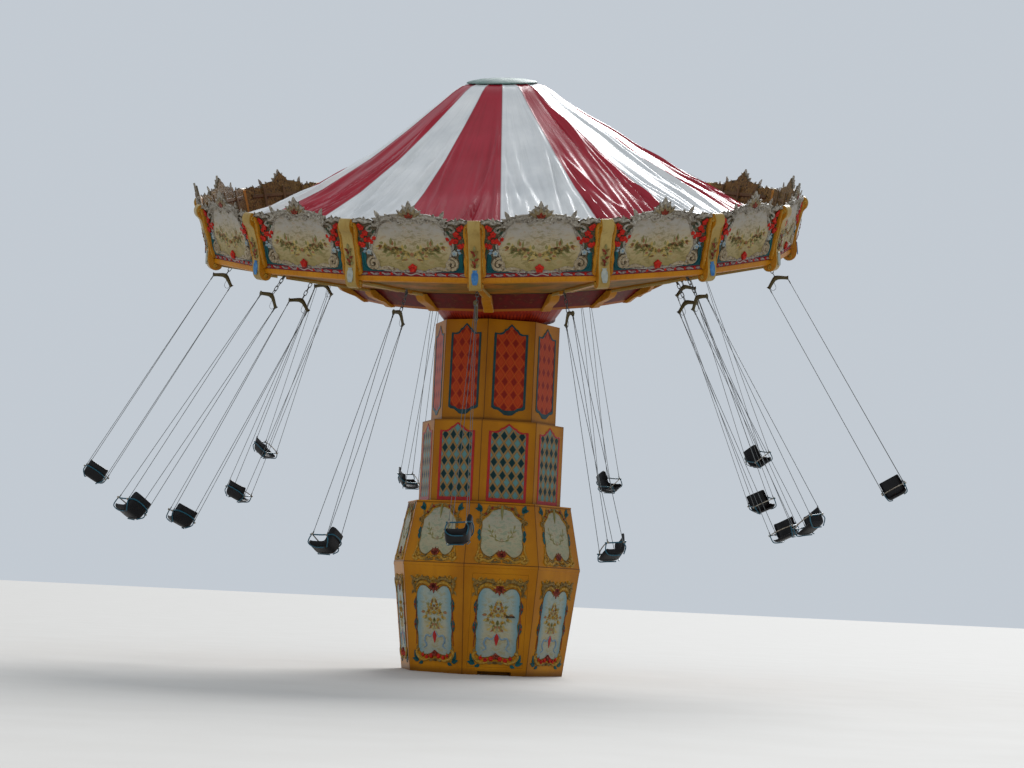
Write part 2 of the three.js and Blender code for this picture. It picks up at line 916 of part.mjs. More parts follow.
// Built hanging square to the crown: x across the ropes (away from the axis), y astern, z up.
function yoke() {
  const outline = [
    [-YOKE_HALF, -96],
    [-YOKE_HALF + 34, -104],
    [-130, -40],
    [-50, -10],
    [50, -10],
    [130, -40],
    [YOKE_HALF - 34, -104],
    [YOKE_HALF, -96],
    [150, -4],
    [60, 26],
    [-60, 26],
    [-150, -4],
  ];
  const shape = plate(outline, -14, 14);
  return moved(shape, new THREE.Matrix4().makeRotationX(Math.PI / 2));
}

function seat(z) {
  const profile = [
    [-230, -180],
    [210, -180],
    [230, -140],
    [220, -110],
    [-170, -118],
    [-210, 240],
    [-240, 250],
    [-262, 230],
  ];
  const shell = plate(profile, -SEAT_HALF + 14, SEAT_HALF - 14);
  const stand = new THREE.Matrix4().makeBasis(
    new THREE.Vector3(0, 1, 0),
    new THREE.Vector3(0, 0, 1),
    new THREE.Vector3(1, 0, 0),
  );
  const parts = [moved(shell, stand)];
  for (const s of [-1, 1]) {
    const x = s * SEAT_HALF;
    parts.push(rod([x, -190, 0], [x, 190, 0], 14, 4));
    parts.push(rod([x, -180, 0], [x - s * 16, -236, 180], 12, 4));
    parts.push(rod([x, 170, 0], [x - s * 16, 205, -150], 12, 4));
  }
  parts.push(rod([-SEAT_HALF, 150, 0], [SEAT_HALF, 150, 0], 12, 4));
  return moved(joined(parts), at(0, 0, z).multiply(turned(180)));
}

function swingShape(hingeTurn) {
  const t = LUG_T / 2 + 3;
  const parts = [];
  const hanger = [];
  hanger.push(rod([-t - 8, 0, 0], [t + 8, 0, 0], HOOK_PIN_R, 12));
  for (const s of [-1, 1]) {
    const inner = Math.min(s * t, s * (t + 8));
    hanger.push(box(inner, inner + 8, -16, 16, -70, 14));
  }
  hanger.push(box(-t - 8, t + 8, -16, 16, -80, -50));
  parts.push(moved(joined(hanger), turned(hingeTurn)));
  parts.push(rod([0, 0, -70], [0, 0, -LINK + 10], 11, 4));
  parts.push(moved(yoke(), at(0, 0, -LINK)));
  const seatZ = -LINK - ROPE;
  for (const s of [-1, 1]) {
    const top = [s * (YOKE_HALF - 14), 0, -LINK - 96];
    parts.push(rod(top, [s * SEAT_HALF, -150, seatZ], ROPE_R, 4));
    parts.push(rod(top, [s * SEAT_HALF, 150, seatZ], ROPE_R, 4));
  }
  parts.push(seat(seatZ));
  return joined(parts);
}

for (let k = 0; k < SIDES; k += 1) {
  const [r, z] = hookOf(k);
  const { axis, angle } = hingeOf(k);
  const out = radial(k);
  const place = at(out.x * r, out.y * r, z);
  const swingTurn = new THREE.Matrix4().makeRotationAxis(axis, angle);
  const facing = ARM_DEG + PITCH * k - 90;
  const hingeTurn = Math.atan2(axis.y, axis.x) / RAD - facing;
  const whole = place.multiply(swingTurn).multiply(turned(facing));
  const body = moved(swingShape(hingeTurn), whole);
  crownPiece("swing_" + String(k + 1).padStart(2, "0"), body, "seat_black");
}

export default group;
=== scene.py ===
import random
from math import atan2, copysign, cos, degrees, exp, pi, radians, sin, sqrt

import bmesh
import bpy
from mathutils import Matrix, Vector


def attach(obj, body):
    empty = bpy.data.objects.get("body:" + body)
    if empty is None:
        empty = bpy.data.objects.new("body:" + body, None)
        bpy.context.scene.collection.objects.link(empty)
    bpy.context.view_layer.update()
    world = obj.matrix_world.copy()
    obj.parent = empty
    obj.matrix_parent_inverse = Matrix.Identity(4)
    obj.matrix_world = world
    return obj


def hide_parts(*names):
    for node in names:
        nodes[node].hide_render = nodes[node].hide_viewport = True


# A chair swing ride: finished pieces on its frame, a studio with light, and a camera.
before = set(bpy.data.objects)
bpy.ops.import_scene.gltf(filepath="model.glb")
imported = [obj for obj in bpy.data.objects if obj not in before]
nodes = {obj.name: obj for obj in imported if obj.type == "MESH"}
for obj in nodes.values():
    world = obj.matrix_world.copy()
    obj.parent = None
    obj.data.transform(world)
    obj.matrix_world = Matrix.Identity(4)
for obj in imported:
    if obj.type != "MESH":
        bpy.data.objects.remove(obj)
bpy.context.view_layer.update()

# Sizes in metres and degrees, as the ride is built. The crown's are measured from its tilt
# pivot, square to its own floor.
PIVOT_HEIGHT, TILT, LOW_SIDE = 7.881, 13.71, -12.9
ARM_AZIMUTH, BAYS = -3.83, 16
BAY = 360 / BAYS
RIM_REACH, RIM_FOOT, RIM_LEAN = 6.021, 0.9, 12.5
BAND_REACH, BAND_HEIGHT = 3.34, 0.297
SOFFIT_REACH, SOFFIT_HEIGHT = 5.88, 0.79
BAND_FOOT, NECK_FRINGE, NECK_HEM = -0.045, -0.34, -0.585
# Outer and inner hooks: distance from the axis, height, and how far their swings are flung.
HOOKS = ((5.478, 0.696, 32.1), (3.980, 0.371, 25.6))
# The tower's eight facets. Reaches are to the corners.
FACET, BASE_AZIMUTH, CASING_AZIMUTH = 45, -12.9, -8.5
FACET_COS = cos(radians(FACET / 2))
FOOT_REACH, BELT_REACH, DECK_REACH = 1.690, 1.964, 1.720
LOWER_SHELL_HEIGHT, BELT_HEIGHT, DECK_HEIGHT = 2.155, 2.19, 3.408
MIDDLE_CASING_REACH, UPPER_CASING_REACH = 1.477, 1.303
MIDDLE_CASING_FOOT, UPPER_CASING_FOOT = 3.455, 5.11


# Places

def turn(angle, axis):
    return Matrix.Rotation(radians(angle), 4, axis)


def moved(x, y, z):
    return Matrix.Translation((x, y, z))


STAND = turn(90, "X")


def basis(x, y, z, origin):
    m = Matrix((x, y, z)).transposed().to_4x4()
    m.translation = origin
    return m


def crown_frame():
    a, t = radians(LOW_SIDE), radians(TILT)
    up = Vector((sin(a) * sin(t), -cos(a) * sin(t), cos(t)))
    x = (Vector((1, 0, 0)) - up * up.x).normalized()
    return basis(x, up.cross(x), up, Vector((0, 0, PIVOT_HEIGHT)))


CROWN = crown_frame()


def outward(azimuth):
    a = radians(azimuth)
    return Vector((sin(a), -cos(a), 0))


def facing(azimuth, reach, height, lean=0.0):
    """A place on a wall that faces outward: x to the right, y up, z out of the wall."""
    a = radians(azimuth)
    right = Vector((cos(a), sin(a), 0))
    out = outward(azimuth)
    place = basis(right, Vector((0, 0, 1)), out, out * reach + Vector((0, 0, height)))
    return place @ turn(lean, "X")


# Bench

def clear():
    bpy.ops.object.select_all(action="DESELECT")


def pick(*pieces):
    clear()
    for piece in pieces:
        piece.select_set(True)
    bpy.context.view_layer.objects.active = pieces[0]


def set_down(piece, place):
    """Move a piece to its place and keep the place in its mesh."""
    pick(piece)
    piece.matrix_world = place
    bpy.ops.object.transform_apply(location=True, rotation=True, scale=True)
    return piece


def work_on(piece):
    pick(piece)
    bpy.ops.object.mode_set(mode="EDIT")


def leave():
    bpy.ops.object.mode_set(mode="OBJECT")


def choose(piece, test):
    """Select the points whose place passes a test."""
    bpy.ops.mesh.select_mode(type="VERT")
    bpy.ops.mesh.select_all(action="DESELECT")
    mesh = bmesh.from_edit_mesh(piece.data)
    for point in mesh.verts:
        if test(point.co):
            point.select_set(True)
    mesh.select_flush_mode()
    bmesh.update_edit_mesh(piece.data)


def draw_out(value=(0, 0, 0)):
    bpy.ops.mesh.extrude_region_move(TRANSFORM_OT_translate={"value": value})


def tidy_mesh(piece, distance=0.0001, outside=True):
    """Merge doubled points and turn every face outwards."""
    work_on(piece)
    bpy.ops.mesh.select_all(action="SELECT")
    bpy.ops.mesh.remove_doubles(threshold=distance)
    if outside:
        bpy.ops.mesh.normals_make_consistent(inside=False)
    leave()
    return piece


def as_mesh(piece):
    pick(piece)
    bpy.ops.object.convert(target="MESH")
    return bpy.context.object


def finish_modifier(piece, kind, **values):
    modifier = piece.modifiers.new(kind.title(), kind)
    for key, value in values.items():
        setattr(modifier, key, value)
    pick(piece)
    bpy.ops.object.modifier_apply(modifier=modifier.name)


def added(name, data):
    piece = bpy.data.objects.new(name, data)
    bpy.context.scene.collection.objects.link(piece)
    return piece


def new_curve(name, dimensions):
    curve = bpy.data.curves.new(name, "CURVE")
    curve.dimensions = dimensions
    return added(name, curve), curve


def new_line(curve, places, closed):
    line = curve.splines.new("POLY")
    line.points.add(len(places) - 1)
    for point, place in zip(line.points, places):
        point.co = (*place, 1)
    line.use_cyclic_u = closed
    return line


def sawn(name, outlines, thickness, back=0.0, edge=0.0):
    """A board sawn to outlines in x and y, its back at height back, its face towards z."""
    piece, curve = new_curve(name, "2D")
    curve.fill_mode = "BOTH"
    curve.extrude = thickness / 2 - edge
    if edge:
        curve.bevel_depth = edge
        curve.bevel_resolution = 0
        curve.offset = -edge
    for outline in outlines:
        new_line(curve, [(x, y, 0) for x, y in outline], True)
    return tidy_mesh(set_down(as_mesh(piece), moved(0, 0, back + thickness / 2)))


def standing(name, side, thickness, edge, middle=0.0):
    """A board sawn to a side view in x and z. middle is how far off centre it stands."""
    return set_down(sawn(name, [side], thickness, middle - thickness / 2, edge), STAND)


def box(name, left, right, low, high, thickness, back, edge=0.0):
    outline = [(left, low), (right, low), (right, high), (left, high)]
    return sawn(name, [outline], thickness, back, edge)


def swept(name, points, radius, sides=1, closed=False):
    """A round bar along points. radius is one number or one for each point."""
    piece, curve = new_curve(name, "3D")
    curve.bevel_depth = 1.0
    curve.bevel_resolution = sides
    curve.use_fill_caps = not closed
    line = new_line(curve, points, closed)
    radii = radius if isinstance(radius, list) else [radius] * len(points)
    for point, thick in zip(line.points, radii):
        point.radius = thick
    line.use_smooth = True
    return tidy_mesh(as_mesh(piece))


def smooth_line(points, steps=4, closed=False):
    """Points on an even curve through the given ones."""
    vectors = [Vector(p if len(p) == 3 else (*p, 0)) for p in points]
    count = len(vectors)
    spans = count if closed else count - 1
    out = []
    for i in range(spans):
        b, c = vectors[i], vectors[(i + 1) % count]
        a = vectors[i - 1] if closed or i > 0 else b + (b - c)
        d = vectors[(i + 2) % count] if closed or i + 2 < count else c + (c - b)
        for s in range(steps):
            t = s / steps
            out.append(0.5 * ((2 * b) + (c - a) * t + (2 * a - 5 * b + 4 * c - d) * t * t
                + (3 * b - a - 3 * c + d) * t * t * t))
    if not closed:
        out.append(vectors[-1])
    return out


def rounded(outline, steps):
    """A closed outline in x and y, its corners drawn into even curves."""
    return [(p[0], p[1]) for p in smooth_line(outline, steps, True)]


def mirrored(points):
    """The same line on the other side of the middle, run backwards."""
    return [(-x, y) for x, y in reversed(points)]


def both_sides(half):
    """A closed outline from its right half, listed from the bottom up."""
    return list(half) + mirrored([point for point in half if abs(point[0]) > 1e-6])


def whole_bar(half, steps=3):
    """An even bar from one half, listed from its middle outwards."""
    return smooth_line([(-x, y, z) for x, y, z in reversed(half[1:])] + half, steps)


def cm(*rows):
    """Rows in metres from rows in centimetres. A fifth value is an angle and stays."""
    return [(*(v / 100 for v in row[:4]), *row[4:]) for row in rows]


def curl(x, y, radius, turns, start, hand):
    """A scroll that winds in towards (x, y), in twelve steps a turn."""
    count = int(12 * turns)
    points = []
    for i in range(count + 1):
        t = i / count
        a = radians(start) + hand * t * turns * 2 * pi
        r = radius * (1 - 0.82 * t)
        points.append((x + r * cos(a), y + r * sin(a)))
    return points


def taper(count, thick, ends):
    """Radii of a bar that is thick in the middle and thin at its ends."""
    return [ends + (thick - ends) * sin(pi * (0.08 + 0.84 * i / (count - 1)))
        for i in range(count)]


def disc(name, corners, radius, place):
    """A flat round blank, ready to be shaped."""
    clear()
    bpy.ops.mesh.primitive_circle_add(vertices=corners, radius=radius, fill_type="NGON",
        location=place)
    piece = bpy.context.object
    piece.name = name
    bpy.ops.object.transform_apply(location=True)
    work_on(piece)
    return piece


def bloom(name, x, y, z, radius, petals=5):
    """A carved flower: a disc nicked into petals, raised, and pinched at its middle."""
    flower = disc(name, 2 * petals, radius, (x, y, z))
    step = pi / petals
    choose(flower, lambda at: round(atan2(at.x - x, at.y - y) / step) % 2)
    bpy.ops.transform.resize(value=(0.76, 0.76, 1), center_override=(x, y, z))
    bpy.ops.mesh.select_mode(type="FACE")
    bpy.ops.mesh.select_all(action="SELECT")
    draw_out((0, 0, radius * 0.35))
    bpy.ops.mesh.inset(thickness=radius * 0.34, depth=radius * 0.22)
    bpy.ops.mesh.inset(thickness=radius * 0.2, depth=-radius * 0.16)
    leave()
    return flower


def leaf(name, x, y, length, width, angle, thick=0.012, back=0.0):
    half = [(0, 0), (width * 0.42, length * 0.22), (width * 0.5, length * 0.45),
        (width * 0.28, length * 0.75), (0, length)]
    a = radians(angle)
    placed = [(x + px * cos(a) - py * sin(a), y + px * sin(a) + py * cos(a))
        for px, py in both_sides(half)]
    return sawn(name, [placed], thick, back)


def dress(piece, finish):
    piece.data.materials.clear()
    piece.data.materials.append(finish.material)
    return piece


def lay_out(piece):
    """Store each point's x and y in the plan map, for patterns that follow the panel."""
    mesh = piece.data
    while mesh.uv_layers:
        mesh.uv_layers.remove(mesh.uv_layers[0])
    layer = mesh.uv_layers.new(name="plan")
    layer.data.foreach_set("uv", [value for loop in mesh.loops
        for value in mesh.vertices[loop.vertex_index].co[:2]])


def soften(piece, angle):
    pick(piece)
    bpy.ops.object.shade_smooth_by_angle(angle=radians(angle))
    return piece


def assembled(name, parts, angle=40):
    """Join parts to one piece, its edges under the angle shaded smooth."""
    for part in parts:
        lay_out(part)
    pick(*parts)
    if len(parts) > 1:
        bpy.ops.object.join()
    piece = bpy.context.object
    piece.name = piece.data.name = name
    return soften(piece, angle)


def repeated(pattern, name, places, bodies, gone=(), numbers=None):
    """Copies of one finished piece, each with its own mesh, put at its places."""
    made = []
    for i, place in enumerate(places):
        copy = pattern.copy()
        copy.data = pattern.data.copy()
        copy.name = copy.data.name = f"{name}_{numbers[i] if numbers else i + 1:02d}"
        bpy.context.scene.collection.objects.link(copy)
        set_down(copy, place)
        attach(copy, bodies[i] if isinstance(bodies, list) else bodies)
        made.append(copy)
    for node in gone:
        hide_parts(node)
    bpy.data.objects.remove(pattern)
    return made


# Finishes

def tone(colour):
    """A colour read as a paint card is, each part from 0 to 255."""
    out = []
    for value in colour:
        c = value / 255
        out.append(c / 12.92 if c <= 0.04045 else ((c + 0.055) / 1.055) ** 2.4)
    return (*out, 1.0)


def worked(operation, swapped=False, usual=0.0):
    """What a sign or a word on a Reading does: it adds one Math node."""
    def work(self, other=usual):
        first, second = (other, self) if swapped else (self, other)
        return self.finish.add("Math", {"operation": operation}, {0: first, 1: second})
    return work


class Reading:
    """A value that a finish works out at each point of a surface."""

    def __init__(self, finish, socket):
        self.finish = finish
        self.socket = socket

    __add__ = __radd__ = worked("ADD")
    __sub__, __rsub__ = worked("SUBTRACT"), worked("SUBTRACT", True)
    __mul__ = __rmul__ = worked("MULTIPLY")
    __truediv__ = worked("DIVIDE")
    above, below = worked("GREATER_THAN"), worked("LESS_THAN")
    wrapped = worked("FLOORED_MODULO", usual=1.0)
    size, sine, root = worked("ABSOLUTE"), worked("SINE"), worked("SQRT")

    def ramp(self, low, high):
        """0 at low and 1 at high, even between them."""
        return self.finish.add("MapRange", {"clamp": True}, {"Value": self, "From Min": low,
            "From Max": high})


class Finish:
    """A paint, cloth or metal, with its nodes."""

    def __init__(self, name, rough=0.4, metal=0.0, coat=0.0, shine=0.5):
        self.material = bpy.data.materials.new(name)
        self.material.use_nodes = True
        self.nodes = self.material.node_tree.nodes
        self.links = self.material.node_tree.links
        self.shader = self.nodes["Principled BSDF"]
        self.base = None
        for socket, value in (("Roughness", rough), ("Metallic", metal), ("Coat Weight", coat),
                ("Coat Roughness", 0.12), ("Specular IOR Level", shine)):
            self.shader.inputs[socket].default_value = value

    def give(self, socket, value):
        if isinstance(value, Reading):
            self.links.new(value.socket, socket)
        else:
            socket.default_value = tone(value) if socket.type == "RGBA" else value

    def add(self, kind, settings, values, output=0):
        node = self.nodes.new("ShaderNode" + kind)
        for key, value in settings.items():
            setattr(node, key, value)
        for key, value in values.items():
            self.give(node.inputs[key], value)
        return Reading(self, node.outputs[output])

    def point(self):
        return self.add("TexCoord", {}, {}, "Object")

    def mapped(self, name="plan"):
        return self.add("UVMap", {"uv_map": name}, {})

    def crown_point(self):
        """Where the point is on the crown: x, y and its height over the tilt pivot."""
        off = self.add("VectorMath", {"operation": "SUBTRACT"},
            {0: self.point(), 1: (0.0, 0.0, PIVOT_HEIGHT)})
        return [self.add("VectorMath", {"operation": "DOT_PRODUCT"}, {0: off, 1: tuple(axis)},
            "Value") for axis in CROWN.to_3x3().col]

    def split(self, vector):
        x = self.add("SeparateXYZ", {}, {0: vector})
        return [Reading(self, socket) for socket in x.socket.node.outputs]

    def stretched(self, vector, scale):
        return self.add("VectorMath", {"operation": "MULTIPLY"}, {0: vector, 1: scale})

    def noise(self, vector, scale, detail=3.0, rough=0.55):
        return self.add("TexNoise", {}, {"Vector": vector, "Scale": scale, "Detail": detail,
            "Roughness": rough})

    def azimuth(self, x, y):
        """Degrees round the axis, 0 towards -Y and 90 towards +X."""
        angle = self.add("Math", {"operation": "ARCTAN2"}, {0: x, 1: y * -1.0})
        return angle * degrees(1)

    def blend(self, share, first, second):
        return self.add("Mix", {"data_type": "RGBA"}, {0: share, 6: first, 7: second}, 2)

    def ground(self, share, first, second):
        """The first paint: two tones in their shares."""
        self.base = self.blend(share, first, second)

    def coat(self, share, colour):
        """Another tone over those that are there."""
        self.base = self.blend(share, self.base, colour)

    def done(self, height, distance, strength, rough=None):
        """Give the shader its colour, its relief and, where it varies, its roughness."""
        normal = self.add("Bump", {}, {"Strength": strength, "Distance": distance,
            "Height": height})
        self.give(self.shader.inputs["Base Color"], self.base)
        self.give(self.shader.inputs["Normal"], normal)
        if rough:
            self.give(self.shader.inputs["Roughness"], rough)
        return self


def worn_paint(name, main, dark, light, rough=0.42, coat=0.05, scale=1.0, dirt=0.35, metal=0.0,
        shine=0.15):
    """Brushed gloss paint: clouded colour, fine brush marks and dull patches."""
    f = Finish(name, rough, metal, coat, shine)
    p = f.point()
    cloud = f.noise(p, 1.7 * scale, 4.0)
    marks = f.noise(f.stretched(p, (14.0, 14.0, 2.2)), 1.6 * scale, 4.0)
    fine = f.noise(p, 42.0 * scale, 3.0)
    f.ground(cloud.ramp(0.3, 0.7), main, light)
    f.coat(marks.ramp(0.52, 0.78) * dirt, dark)
    f.coat(fine.ramp(0.62, 0.8) * (dirt * 0.6), dark)
    return f.done(fine * 0.4 + marks * 0.6, 0.004, 0.35, cloud * 0.2 + (rough - 0.08))


def carved(name, main, dark, light, rough=0.5):
    """Carved and painted wood, flecked with painted shade for its hollows and painted highlights
    for its edges.
    """
    f = Finish(name, rough, 0.0, 0.0, 0.15)
    p = f.point()
    hollow = f.noise(p, 17.0, 3.0, 0.6)
    glint = f.noise(p, 26.0, 2.0)
    cloud = f.noise(p, 1.3, 3.0)
    # Painted shade: dark flecks for the carving's hollows. Painted highlight: light flecks for its
    # lit edges. Then a broad darker cloud.
    f.ground(hollow.ramp(0.34, 0.52), dark, main)
    f.coat(glint.ramp(0.54, 0.66) * 0.75, light)
    f.coat(cloud.ramp(0.45, 0.65) * 0.3, dark)
    return f.done(hollow, 0.02, 0.6, glint * 0.2 + (rough - 0.1))


def wall_paint(name, main, dark, light, first_corner, shade_bands=()):
    """The tower's amber paint, with dark corner joints and painted shade near each facet's corners
    and about each ledge.
    """
    f = Finish(name, 0.36, 0.0, 0.04, 0.12)
    p = f.point()
    x, y, z = f.split(p)
    reach = (x * x + y * y).root()
    along = ((f.azimuth(x, y) - first_corner) / FACET).wrapped()
    off = (0.5 - (along - 0.5).size()) * (FACET * pi / 180) * reach
    joint = 1.0 - off.ramp(0.003, 0.012)
    # Painted shade: each facet is darker towards its corners and lighter across its middle, as a
    # rounded facet is lit.
    lit_middle = off.ramp(0.0, 0.32)
    cloud = f.noise(p, 1.1, 4.0)
    streak = f.noise(f.stretched(p, (3.0, 3.0, 0.7)), 1.3, 5.0)
    fine = f.noise(p, 55.0, 3.0)
    f.ground(cloud.ramp(0.28, 0.72), main, light)
    f.coat((1.0 - lit_middle) * 0.3, dark)
    f.coat(streak.ramp(0.5, 0.8) * 0.35, dark)
    # Painted shade in a dark brown band about each ledge and at the foot, where parts meet.
    for height, depth, share in shade_bands:
        under = (1.0 - ((z - height).size()).ramp(depth * 0.3, depth)) * share
        f.coat(under, (58, 30, 8))
    f.coat(joint * 0.75, (46, 24, 8))
    return f.done(fine * 0.2 + cloud - joint, 0.004, 0.35, cloud * 0.18 + 0.3)


def diamond_cloth(name, ground, small, line, bright, across, up, fill, first=(0.0, 0.0)):
    """A painted harlequin field: upright diamonds and the thin lines between them."""
    f = Finish(name, 0.42, 0.0, 0.03, 0.12)
    plan = f.mapped()
    u, v, _ = f.split(plan)
    a = (u - first[0]) / across
    b = (v - first[1]) / up
    inner = ((a + 0.5).wrapped() - 0.5).size() + ((b + 0.5).wrapped() - 0.5).size()
    other = (a.wrapped() - 0.5).size() + (b.wrapped() - 0.5).size()
    cloud = f.noise(plan, 5.0, 4.0)
    fine = f.noise(plan, 60.0, 3.0)
    f.ground(cloud.ramp(0.35, 0.75) * 0.5, ground, bright)
    f.coat(1.0 - other.ramp(fill - 0.1, fill - 0.02), bright)
    lines = 1.0 - (inner - 0.5).size().ramp(0.015, 0.045)
    f.coat(lines * 0.8, line)
    f.coat(1.0 - inner.ramp(fill - 0.035, fill), small)
    f.coat(fine.ramp(0.6, 0.85) * 0.25, (50, 34, 24))
    return f.done(fine * 0.3 + lines * 0.4, 0.002, 0.3, cloud * 0.2 + 0.3)


def wash(name, top, middle, foot, dapple_tone, soil, height, rim=None):
    """A cartouche field: soft washes of cloudy colour, dappled and a little soiled."""
    f = Finish(name, 0.5, 0.0, 0.0, 0.15)
    plan = f.mapped()
    u, v, _ = f.split(plan)
    cloud = f.noise(plan, 3.2, 5.0, 0.6)
    level = (v / height) + (cloud - 0.5) * 0.5
    f.ground(level.ramp(0.1, 0.55), foot, middle)
    f.coat(level.ramp(0.5, 0.95), top)
    dapple = f.noise(f.stretched(plan, (1.0, 1.9, 1.0)), 6.5, 6.0, 0.7)
    patch = f.noise(plan, 1.9, 2.0)
    f.coat(dapple.ramp(0.48, 0.56) * patch.ramp(0.4, 0.5) * 0.6, dapple_tone)
    f.coat(dapple.ramp(0.38, 0.47) * -0.5 + 0.5, soil)
    if rim:
        f.coat(u.size().ramp(rim[0], rim[1]) * 0.8, rim[2])
    return f.done(dapple, 0.002, 0.25, cloud * 0.2 + 0.35)


AMBER = ((166, 103, 4), (116, 64, 4), (184, 122, 8))

# Each band of painted shade: the height of its ledge, how far it reaches up and down, and its
# strength.
WALL = wall_paint("amber_wall", *AMBER, CASING_AZIMUTH, ((UPPER_CASING_FOOT, 0.06, 0.5),
    (3.42, 0.08, 0.4)))
BASE = wall_paint("amber_base", *AMBER, BASE_AZIMUTH, ((BELT_HEIGHT, 0.012, 0.9), (3.4, 0.02, 0.5),
    (0.0, 0.14, 0.6)))
OCHRE = worn_paint("ochre_gloss", (158, 98, 10), (96, 54, 8), (176, 118, 22))
ORANGE = worn_paint("orange_moulding", (172, 106, 8), (112, 60, 6), (190, 126, 18))
CREAM = worn_paint("cream_gloss", (150, 120, 58), (104, 74, 28), (174, 150, 90), 0.38, 0.06)
STEEL = worn_paint("grey_steel", (82, 86, 88), (50, 46, 42), (112, 116, 116), 0.5, 0.05, 2.0, 0.5,
    0.4)
# In each carved finish the second tone is its painted shade and the third its painted highlight.
SILVER = carved("silver_scrolls", (150, 142, 128), (88, 78, 66), (184, 180, 170))
BRONZE = carved("bronze_scrolls", (124, 98, 48), (80, 64, 34), (152, 128, 76))
GOLD = carved("gold_scrolls", (164, 122, 38), (118, 86, 32), (188, 154, 78))
RED = carved("red_flowers", (182, 32, 18), (120, 16, 12), (204, 62, 36))
RUSSET = carved("russet_shell", (124, 44, 26), (70, 26, 18), (160, 84, 56))
TEAL = worn_paint("teal_scrolls", (6, 58, 64), (4, 28, 36), (18, 84, 86))
LEAF_GREEN = worn_paint("dark_leaves", (34, 54, 42), (16, 28, 24), (58, 78, 52), 0.45, 0.05, 8.0)
OLIVE = worn_paint("olive_sprays", (112, 110, 62), (74, 66, 40), (136, 128, 84), 0.5, 0.0, 8.0)
CRIMSON = worn_paint("crimson_border", (150, 24, 26), (88, 12, 16), (172, 40, 36), 0.36, 0.1, 4.0)
CURL_CREAM = carved("cream_curls", (158, 142, 114), (104, 84, 62), (182, 172, 150))
URN_BLUE = worn_paint("urn_blue", (36, 92, 150), (20, 44, 84), (80, 130, 170), 0.4, 0.1, 8.0)
URN_GREY = worn_paint("urn_grey", (136, 144, 140), (84, 88, 90), (170, 172, 160), 0.4, 0.1, 8.0)
YOKE_OLIVE = worn_paint("olive_yoke", (70, 62, 38), (36, 32, 22), (96, 86, 56), 0.46, 0.1, 6.0,
    0.5, 0.4)
SEAT_TEAL = worn_paint("seat_frame_paint", (20, 66, 84), (10, 30, 40), (36, 92, 108), 0.35, 0.2,
    10.0)
DARK = worn_paint("dark_brace", (38, 30, 24), (18, 16, 14), (56, 46, 36), 0.5)
BRACE = worn_paint("umber_brace", (84, 60, 36), (44, 32, 22), (110, 84, 52), 0.5)
SHELL = carved("shell_grey", (134, 118, 86), (86, 72, 50), (156, 144, 118))
HAZE = worn_paint("haze_blue", (92, 122, 146), (56, 76, 96), (132, 152, 160))
MAUVE = carved("mauve_strip", (132, 116, 112), (84, 66, 66), (152, 140, 134))
GILT = carved("gilt_backs", (112, 84, 42), (48, 34, 20), (140, 116, 66))
CAP_GREEN = worn_paint("cap_green", (82, 108, 104), (40, 60, 58), (122, 146, 138), 0.5, 0.0, 1.5,
    0.7)
BORDER = worn_paint("border_teal", (20, 50, 54), (10, 26, 30), (30, 70, 76), 0.36, 0.1, 4.0)


FRINGE_TAG = 3.2  # degrees


def neck_finish():
    """Orange-red with a darker fringe that hangs in tags, and a dark hem."""
    f = Finish("neck_fringe", 0.46, 0.0, 0.04, 0.12)
    x, y, z = f.crown_point()
    tag = ((f.azimuth(x, y) / FRINGE_TAG).wrapped() - 0.5).size()
    cloud = f.noise(f.point(), 9.0, 4.0)
    f.ground(cloud.ramp(0.3, 0.7), (138, 32, 10), (162, 50, 16))
    rows = ((z * 5.2 + tag * 0.7).wrapped() - 0.5).size()
    f.coat((1.0 - rows.ramp(0.16, 0.24)) * 0.5, (116, 20, 14))
    fringe = z.below(NECK_FRINGE) * tag.ramp(0.26, 0.34)
    f.coat(fringe * 0.75, (98, 16, 12))
    f.coat(1.0 - z.ramp(NECK_HEM, NECK_HEM + 0.015), (78, 14, 12))
    return f.done(tag + cloud, 0.006, 0.4, cloud * 0.2 + 0.32)


def band_finish():
    """Dark red boards with a clouded scroll pattern and a thin ochre foot."""
    f = Finish("dark_red_band", 0.5, 0.0, 0.04, 0.12)
    _, _, z = f.crown_point()
    cloud = f.noise(f.point(), 5.0, 5.0, 0.7)
    f.ground(cloud.ramp(0.35, 0.6), (104, 24, 20), (74, 20, 18))
    f.coat(cloud.ramp(0.55, 0.66) * 0.75, (112, 60, 26))
    f.coat(1.0 - z.ramp(BAND_FOOT, BAND_FOOT + 0.015), (150, 84, 26))
    return f.done(cloud, 0.008, 0.4)


def soffit_finish():
    """Golden boards under the crown, clouded with green, with a dark green line inside."""
    f = Finish("soffit_gold", 0.6, 0.0, 0.0, 0.1)
    x, y, _ = f.crown_point()
    reach = (x * x + y * y).root()
    cloud = f.noise(f.point(), 1.5, 4.0)
    patch = f.noise(f.point(), 6.0, 5.0)
    grain = f.noise(f.stretched(f.point(), (3.0, 3.0, 30.0)), 4.0, 4.0)
    f.ground(cloud.ramp(0.38, 0.62), (150, 92, 14), (108, 84, 26))
    f.coat(patch.ramp(0.5, 0.7) * 0.55, (84, 56, 22))
    f.coat(grain.ramp(0.55, 0.75) * 0.3, (86, 54, 22))
    f.coat(reach.ramp(5.66, 5.7) * 0.8, (172, 108, 24))
    f.coat(1.0 - reach.ramp(3.40, 3.46), (22, 40, 30))
    return f.done(grain + cloud, 0.004, 0.35, cloud * 0.2 + 0.5)


